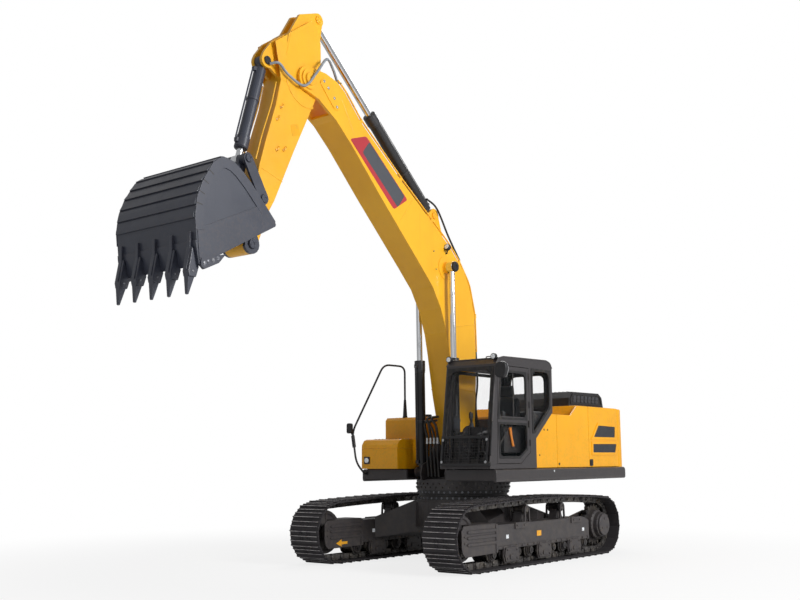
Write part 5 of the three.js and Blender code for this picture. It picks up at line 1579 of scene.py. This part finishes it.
class EXCAVATOR_OT_arm(bpy.types.Operator):
    """Makes the arm's doublers, welds, grease points, blank plate, pins and pipes"""
    bl_idname = "excavator.arm"
    bl_label = "Arm trim"

    def execute(self, context):
        collar = np.concatenate([arc(arm_pin[1:], 0.42, 195, 290, 16), arc(arm_pin[1:], 0.30, 290, 195, 16)])
        plate = soft(yz((-4.28, 6.09), (-4.13, 6.14), (-4.17, 6.30), (-4.32, 6.25)), 0.02)
        front = yz((-4.40, 7.56), (-4.64, 7.38), (-4.52, 6.84), (-4.44, 7.12))
        tip = arc(bucket_pin[1:], 0.118, 0, 345, 24)
        welds = both(bead(yz((-4.86, 5.50), (-4.47, 5.39)), arm_x),
                     bead(yz((-4.50, 6.86), (-3.79, 6.83)), arm_x, 0.004),
                     bead(yz((-4.33, 7.60), (-4.46, 7.10), (-4.60, 6.45)), arm_x, 0.004))
        points = [(-4.51, 6.45), (-4.58, 6.26), (-4.585, 5.82), (-4.45, 5.85)]
        nipples = both(*[both(lathe([(0.024, 0), (0.024, 0.012), (0.01, 0.016), (0.012, 0.034), (0, 0.038)],
                                    at(s * arm_x, y, z), s * X, 12),
                              tube(curve([at(s * (arm_x + 0.03), y, z),
                                          at(s * (arm_x + 0.035), y + 0.02, z + 0.03),
                                          at(s * (arm_x + 0.01), y + 0.03, z + 0.06)], 4), 0.006, 8))
                         for s in (-1, 1) for y, z in points])
        top = offset(yz((-4.90, 5.60), (-4.79, 5.98), (-4.62, 6.45), (-4.535, 6.80)), 0.045)
        make("arm_trim", "arm", [
            (on_side(front, arm_x, 0.006), 0.002, 0), (on_side(collar, arm_x, 0.008), 0.003, 0),
            (on_side(tip, arm_x, 0.0045), 0.001, 0), (welds, 0, 0),
            (on_side(plate, arm_x, 0.002), 0, 1), (pipes(top, (-0.135, 0.135), 0.011), 0, 0),
            (nipples, 0, 0), (pin_end(arm_head, 0.107, 0.062, 0.02), 0.002, 0),
            (pin_end(bucket_foot, 0.107, 0.06, 0.02), 0.002, 2),
        ], ["boom_yellow", "yellow", "black"])
        return {"FINISHED"}


# ---------------------------------------------------------------- bucket and links
BUCKET_BACK = yz((-6.387, 3.872), (-6.439, 4.103), (-6.480, 4.456), (-6.455, 4.690), (-6.372, 4.904),
                 (-6.223, 5.147), (-6.120, 5.235), (-6.034, 5.262), (-5.900, 5.235), (-5.780, 5.170),
                 (-5.614, 5.040), (-5.403, 4.838), (-5.175, 4.622))
bucket_x = boxes["bucket"][1][0] - 0.018


def along_back(distance):
    """A place on the bucket's back at a distance from the lip, and the direction out of it there."""
    steps = lengths(BUCKET_BACK)

    def walk(to):
        return np.stack([np.interp(to, steps, BUCKET_BACK[:, i]) for i in (0, 1)], -1)

    ahead = unit(walk(distance + 0.04) - walk(distance - 0.04))
    return walk(distance), np.stack([-ahead[..., 1], ahead[..., 0]], -1)


class EXCAVATOR_OT_bucket(bpy.types.Operator):
    """Makes the bucket's stepped wear strips, side bands, adapters, cutter bolts and link pins"""
    bl_idname = "excavator.bucket"
    bl_label = "Bucket"

    def execute(self, context):
        steps = []
        edges = np.array([0.56, 0.72, 0.88, 1.04, 1.20, 1.36, 1.50, 1.62])
        for start, stop in zip(edges[:-1], edges[1:]):
            t = np.linspace(start + 0.004, stop - 0.008, 5)
            place, out = along_back(t)
            outer = place + out * np.linspace(0.022, 0.005, 5)[:, None]
            strip = np.concatenate([outer, (place - out * 0.004)[::-1]])
            steps.append((prism(strip, -bucket_x + 0.004, bucket_x - 0.004), 0.002, 0))
        lip, away = along_back(np.linspace(0.01, 0.30, 6))
        strip = np.concatenate([lip + away * 0.012, lip[::-1] - away[::-1] * 0.004])
        steps.append((prism(strip, -bucket_x + 0.002, bucket_x - 0.002), 0.003, 0))
        t = np.linspace(0.42, 2.45, 34)
        rim_line, out = along_back(t)
        band = np.concatenate([rim_line + out * 0.006, (rim_line - out * 0.13)[::-1]])
        sides = [(on_side(band, bucket_x, 0.011), 0.003, 0)]
        # black strips on the band stand for its slits: painted shade in place of the shaded gaps
        for s in (0.74, 0.90, 1.06, 1.22):
            place, out = along_back(np.array([s, s + 0.014]))
            slit = np.concatenate([place + out * 0.002, (place - out * 0.085)[::-1]])
            sides.append((on_side(slit, bucket_x, 0.0122), 0, 1))
        plate = yz((-6.44, 4.30), (-5.36, 4.81), (-5.17, 4.62), (-5.165, 4.55), (-6.34, 3.90), (-6.40, 3.93))
        sides.append((on_side(plate, bucket_x, 0.008), 0.003, 0))
        places = yz((-6.33, 3.90), (-6.27, 3.93), (-6.20, 3.955), (-6.13, 3.99))
        cutters = pair(lambda s: bolts([(s * (bucket_x + 0.017), *p) for p in places], s * X, 0.02, 0.01))
        make("bucket_trim", "bucket", [*steps, *sides, (cutters, 0, 2)],
             ["bucket_paint", "black", "wear_steel"])
        teeth = []
        for i in range(5):
            x = (i - 2) * 0.325
            top, spread = yz((-6.470, 4.27), (-6.462, 4.06), (-6.508, 3.83), (-6.502, 3.80)), 0.05
            strip = np.concatenate([top + (-0.022, 0), (top + (0.03, 0.0))[::-1]])
            teeth.append((prism(strip, x - 0.026, x + 0.026), 0.008, 0))
            socket = yz((-6.47, 4.10), (-6.522, 3.80), (-6.505, 3.73), (-6.40, 3.73), (-6.36, 3.86),
                        (-6.385, 3.93))
            teeth.append((prism(socket, x - spread - 0.008, x + spread + 0.008), 0.014, 0))
            pin = lathe([(0.014, -0.064), (0.014, 0.064)], at(x, -6.455, 3.80), X, 12)
            teeth.append((pin, 0.002, 1))
        make("tooth_adapters", "bucket", teeth, ["bucket_paint", "wear_steel"])
        make("bucket_pins", "bucket", [(pin_end(bucket_pin, 0.223, 0.07), 0.002, 0),
                                       (pin_end(at(0, -5.270, 4.910), 0.223, 0.062, 0.02), 0.002, 0)],
             ["bucket_paint"])
        make("rocker_pins", "rocker", [(pin_end(at(0, -4.851, 5.073), 0.216, 0.06, 0.022), 0.002, 0),
                                       (pin_end(bucket_head, 0.216, 0.058, 0.022), 0.002, 0)],
             ["bucket_paint"])
        return {"FINISHED"}


# ---------------------------------------------------------------- cylinders and hoses
class EXCAVATOR_OT_cylinders(bpy.types.Operator):
    """Makes the glands, ports, clamps and pipes of the cylinders"""
    bl_idname = "excavator.cylinders"
    bl_label = "Cylinders"

    def execute(self, context):
        foot, head = at(0, -0.680, 1.400), lift_pin
        for body, x_places, start, end, length, radius, rod, finish, slot in (
            ("boom_barrels", (-0.345, 0.345), foot, head, 1.82, 0.080, 0.048, "barrel", "black_paint"),
            ("arm_barrel", (0,), arm_foot, arm_head, 2.06, 0.092, 0.055, "barrel",
             "black_paint"),
            ("bucket_barrel", (0,), bucket_foot, bucket_head, 1.39, 0.082, 0.046,
             "bucket_paint", "bucket_steel"),
        ):
            along = unit(end - start)
            swell = 0.009 if body == "boom_barrels" else 0.014
            up = np.cross(along, X) if body != "boom_barrels" else np.cross(X, along)
            parts = []
            for x in x_places:
                base = start + X * x
                gland = lathe([(radius + 0.001, -0.20), (radius + 0.006, -0.195), (radius + 0.006, -0.165),
                               (radius + swell, -0.16), (radius + swell, -0.012), (radius + 0.004, -0.002),
                               (rod + 0.03, 0.002), (rod + 0.02, 0.005), (rod + 0.003, 0.006)],
                              base + along * length, along, 36, ring=True)
                band = lathe([(radius + 0.002, -0.02), (radius + 0.009, -0.016), (radius + 0.009, 0.016),
                              (radius + 0.002, 0.02)], base + along * length * 0.45, along, 36, ring=True)
                heads = bolts(ring_places(base + along * (length - 0.006), along, radius - 0.006, 8), along,
                              0.010, 0.01)
                side = up * (radius + 0.012)
                pipe = tube(rounded([base + along * 0.17 + up * radius * 0.9,
                                     base + along * 0.17 + side * 1.35,
                                     base + along * (length - 0.09) + side * 1.35,
                                     base + along * (length - 0.09) + up * radius * 0.9], 0.05), 0.012, 10)
                port = block(-np.array([0.03, 0.03, 0.03]), np.array([0.03, 0.03, 0.03]))
                ports = copies(port, [base + along * d + side for d in (0.17, length - 0.09)])
                parts += [(gland, 0, 0), (band, 0, 0), (heads, 0, 0), (pipe, 0, 0), (ports, 0.006, 0)]
            make(f"{body}_fittings", body, parts, [finish])
        return {"FINISHED"}


class EXCAVATOR_OT_hoses(bpy.types.Operator):
    """Makes the hoses at the boom and the arm"""
    bl_idname = "excavator.hoses"
    bl_label = "Hoses"

    def execute(self, context):
        radius = sizes().hose
        fitting = [(0.021, -0.05), (0.026, -0.045), (0.026, -0.01), (0.021, -0.008), (0.021, 0.05)]
        house, ends = [], []
        for i, x in enumerate((-0.16, -0.09, -0.02, 0.05)):
            rise = 0.06 * (i % 2)
            line = curve([at(x, -0.74, 1.33), at(x, -0.77, 1.70), at(x, -0.76, 1.94),
                          at(x - 0.03, -0.77, 2.08 + rise), at(0.6 * x - 0.13, -0.72, 2.20 + rise),
                          at(0.4 * x - 0.15, -0.5, 2.24 + rise)], 10)
            house += [(tube(line, radius, 14), 0, 0)]
            ends += [(lathe(fitting, at(x, -0.764, 1.90), Z, 14), 0.001, 1)]
        for i, x in enumerate((-0.26, -0.30)):
            line = curve([at(x, -0.35, 1.62), at(x, -0.16, 1.95 + 0.05 * i), at(x, -0.12, 2.3),
                          at(x + 0.02, -0.20, 2.7), at(-0.235, -0.22, 2.95)], 10)
            house += [(tube(line, radius, 14), 0, 0)]
        bundle = make("boom_foot_hoses", None, [*house, *ends], ["rubber", "bright_steel"])
        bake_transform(bundle)
        top = []
        for i, x in enumerate((-0.19, -0.14, 0.14, 0.19)):
            top.append((tube(curve([at(x, 0.165, 3.30 + 0.05 * i), at(x, 0.20, 2.9), at(x * 0.9, 0.17, 2.55),
                                    at(x * 0.8, 0.23, 2.25), at(x * 0.8, 0.38, 1.98)], 8), radius * 0.9, 12),
                        0, 0))
        rear = make("boom_rear_hoses", None, top, ["rubber"])
        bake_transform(rear)
        sheaths = []
        for s in (-1, 1):
            line = curve([at(s * 0.13, -4.70, 7.04), at(s * 0.21, -4.60, 7.06), at(s * 0.225, -4.43, 6.94),
                          at(s * 0.25, -4.13, 6.86), at(s * 0.30, -3.94, 7.09), at(s * 0.28, -3.70, 7.38),
                          at(s * 0.20, -3.48, 7.33), at(s * 0.18, -3.34, 7.13)], 10)
            sheaths.append((tube(line, radius * 1.05, 14), 0, 0))
        loop = make("arm_hoses", None, sheaths, ["hose_sleeve"])
        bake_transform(loop)
        feed = []
        for s in (-1, 1):
            line = curve([at(s * 0.205, -0.30, 4.92), at(s * 0.17, -0.55, 5.28), at(s * 0.12, -0.80, 5.72),
                          at(s * 0.07, -1.02, 5.86)], 8)
            feed.append((tube(line, radius * 0.85, 12), 0, 0))
        links = make("arm_cylinder_hoses", None, feed, ["rubber"])
        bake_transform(links)
        return {"FINISHED"}


# ---------------------------------------------------------------- panel, registration and the run
class EXCAVATOR_PT_panel(bpy.types.Panel):
    """Lists the operators and the values they read"""
    bl_label = "Excavator"
    bl_idname = "EXCAVATOR_PT_panel"
    bl_space_type = "VIEW_3D"
    bl_region_type = "UI"
    bl_category = "Excavator"

    def draw(self, context):
        for operator in OPERATORS:
            self.layout.operator(operator.bl_idname)
        for group in (context.scene.excavator_sizes, context.scene.excavator_colours):
            for name in group.__annotations__:
                self.layout.prop(group, name)


OPERATORS = [
    EXCAVATOR_OT_finishes, EXCAVATOR_OT_stage, EXCAVATOR_OT_dress, EXCAVATOR_OT_tracks,
    EXCAVATOR_OT_track_frames, EXCAVATOR_OT_turntable, EXCAVATOR_OT_doors, EXCAVATOR_OT_hood,
    EXCAVATOR_OT_tail, EXCAVATOR_OT_steps, EXCAVATOR_OT_cab, EXCAVATOR_OT_cab_door,
    EXCAVATOR_OT_interior, EXCAVATOR_OT_boom, EXCAVATOR_OT_arm, EXCAVATOR_OT_bucket,
    EXCAVATOR_OT_cylinders, EXCAVATOR_OT_hoses,
]
CLASSES = (ExcavatorColours, ExcavatorSizes, *OPERATORS, EXCAVATOR_PT_panel)


def register():
    for kind in CLASSES:
        bpy.utils.register_class(kind)
    bpy.types.Scene.excavator_colours = bpy.props.PointerProperty(type=ExcavatorColours)
    bpy.types.Scene.excavator_sizes = bpy.props.PointerProperty(type=ExcavatorSizes)


def unregister():
    del bpy.types.Scene.excavator_sizes
    del bpy.types.Scene.excavator_colours
    for kind in reversed(CLASSES):
        bpy.utils.unregister_class(kind)


def main():
    """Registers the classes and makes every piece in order."""
    register()
    for operator in OPERATORS:
        group, name = operator.bl_idname.split(".")
        getattr(getattr(bpy.ops, group), name)()


if __name__ == "__main__":
    main()
